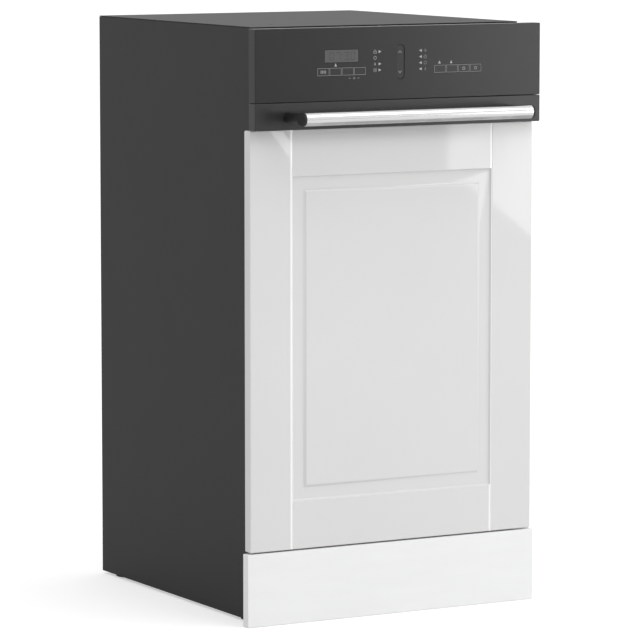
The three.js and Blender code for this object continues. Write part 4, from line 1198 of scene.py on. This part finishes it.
# ------------------------------------------------------------------ door, inside
def inner_door():
    low, high = box("inner_door")
    rim_y, wall = high.y - 5, 1.2
    press = Vector((-170, 0, low.z + 50)), Vector((170, 0, high.z - 37))

    def pan(y, inset=0.0):
        return ring_at(y, low, high, inset, 4)

    def pressing(y, inset):
        return ring_at(y, *press, inset, 24 - inset * 0.5)

    inside = [
        pressing(high.y - wall, 6.5), pressing(high.y - wall - 1, 4), pressing(rim_y - wall + 1, 1.2),
        pressing(rim_y - wall, -0.5), pan(rim_y - wall, 2.4), pan(rim_y - 2.4, wall), pan(low.y, wall)]
    outside = [
        pan(low.y), pan(rim_y - 1.2), pan(rim_y - 0.4, 0.35), pan(rim_y, 1.2), pressing(rim_y, -1.8),
        pressing(rim_y + 0.4, -0.6), pressing(rim_y + 1.5, 0.6), pressing(high.y - 1.4, 2.6),
        pressing(high.y - 0.4, 3.7), pressing(high.y, 5.2)]
    made = piece("door_liner", drawn(loft, inside + outside), "stainless", "inner_door")
    d_low, d_high = box("detergent_dispenser")
    gap = 0.3
    rect = (d_low.x - gap, d_high.x + gap, d_low.z - gap, d_high.z + gap)
    cut_away(made, drawn(slab, "y", rect, rim_y - 10, high.y + 1, 10))
    bm = bmesh.new()  # pressed beads above and below the dispenser
    for z in (d_high.z + 60, d_high.z + 120, d_low.z - 76):
        slab(bm, "y", (-120, 120, z, z + 16), high.y - 0.5, high.y + 1, 7.9, 0.95)
    piece("liner_beads", bm, "stainless", body="door")
    refined("outer_door", "galvanised", 0.2)
    refined("control_housing", "matt_black", 0.5)
    head = ((0.0, -0.2), (3, -0.2), (3, 0.02), (2.2, 0.2), (1.2, 0.22), (1.1, -0.1), (0.0, -0.1))
    bm = bmesh.new()
    for side in (-1, 1):
        for rise in (40, 190, 340, 490, 640):
            lathe(bm, "y", side * 196, low.z + rise, [(r, rim_y + w) for r, w in head], 20)
    piece("liner_screws", bm, "bright_steel", body="door")


def dispenser():
    node = "detergent_dispenser"
    low, high = box(node)
    made = piece("dispenser_body", drawn(plate, "y", low, high, 10, 1.6), "grey_plastic", node)
    lid_low, lid_high = box("dispenser_lid")
    left, foot, top, back = lid_low.x, lid_low.z, lid_high.z, lid_low.y
    chamber = drawn(slab, "y", (-64, -2, foot + 4, top - 4), low.y + 6, high.y + 1, 8)
    track = drawn(slab, "y", (left - 1, high.x - 8, foot - 6, foot - 2.5), high.y - 1.2, high.y + 1, 1.7)
    cut_away(made, chamber, track)
    bm = drawn(slab, "y", (left, lid_high.x, foot, top), back, back + 2.5, 9, 0.9)
    grip = lid_high.x - 10
    slab(bm, "y", (grip, grip + 6, foot + 16, top - 16), back + 2, lid_high.y, 2.8, 1.4)
    for z in (foot + 18 + 11 * n for n in range(4)):
        slab(bm, "y", (left + 8, left + 38, z, z + 3), back + 2, back + 3.2, 1.4, 0.5)
    piece("lid_slide", bm, "light_plastic", "dispenser_lid")
    cap_low, cap_high = box("rinse_aid_cap")
    x, _, z = (cap_low + cap_high) / 2
    radius, y0 = (cap_high.x - cap_low.x) / 2, cap_low.y
    bm = drawn(lathe, "y", x, z, [
        (0.0, y0), (radius - 0.4, y0), (radius, y0 + 0.5), (radius, y0 + 2.6), (radius - 1.4, y0 + 4),
        (radius - 4, y0 + 4), (radius - 5, y0 + 3.2), (0.0, y0 + 3.2)], 56)
    slab(bm, "y", (x - 13.6, x + 13.6, z - 3, z + 3), y0 + 3, cap_high.y, 2.9, 1.1)
    ribs(bm, "y", x, z, radius - 0.3, y0 + 0.6, y0 + 2.7, 20, 0.8, 6)
    piece("rinse_cap_moulding", bm, "light_plastic", "rinse_aid_cap")
    window = drawn(slab, "y", (x - 8, x + 8, z - 34, z - 26), high.y - 0.6, high.y + 0.2, 3.9, 0.3)
    piece("fill_window", window, "digits", body="door")


def small_hardware():
    for node in ("base_tray", "latch_striker", "door_latch", "hinge_arm_left", "hinge_arm_right"):
        refined(node, "matt_black" if node == "base_tray" else "galvanised", 0.35)


# ------------------------------------------------------------------ run
lighting()
floor()
window_card()
camera()
decor_panel()
fascia()
printed_signs()
keys()
display()
rocker()
handle()
side_panels()
covers()
plinth()
feet()
springs()
tub()
door_seal()
perforated_plate()
fine_filter()
salt_cap()
spray_arm("lower_spray_arm", 9.6)
spray_arm("upper_spray_arm", 8.6)
sump_and_pumps()
duct()
lower_rack()
wheels()
cutlery_basket()
upper_rack()
rails()
inner_door()
dispenser()
small_hardware()
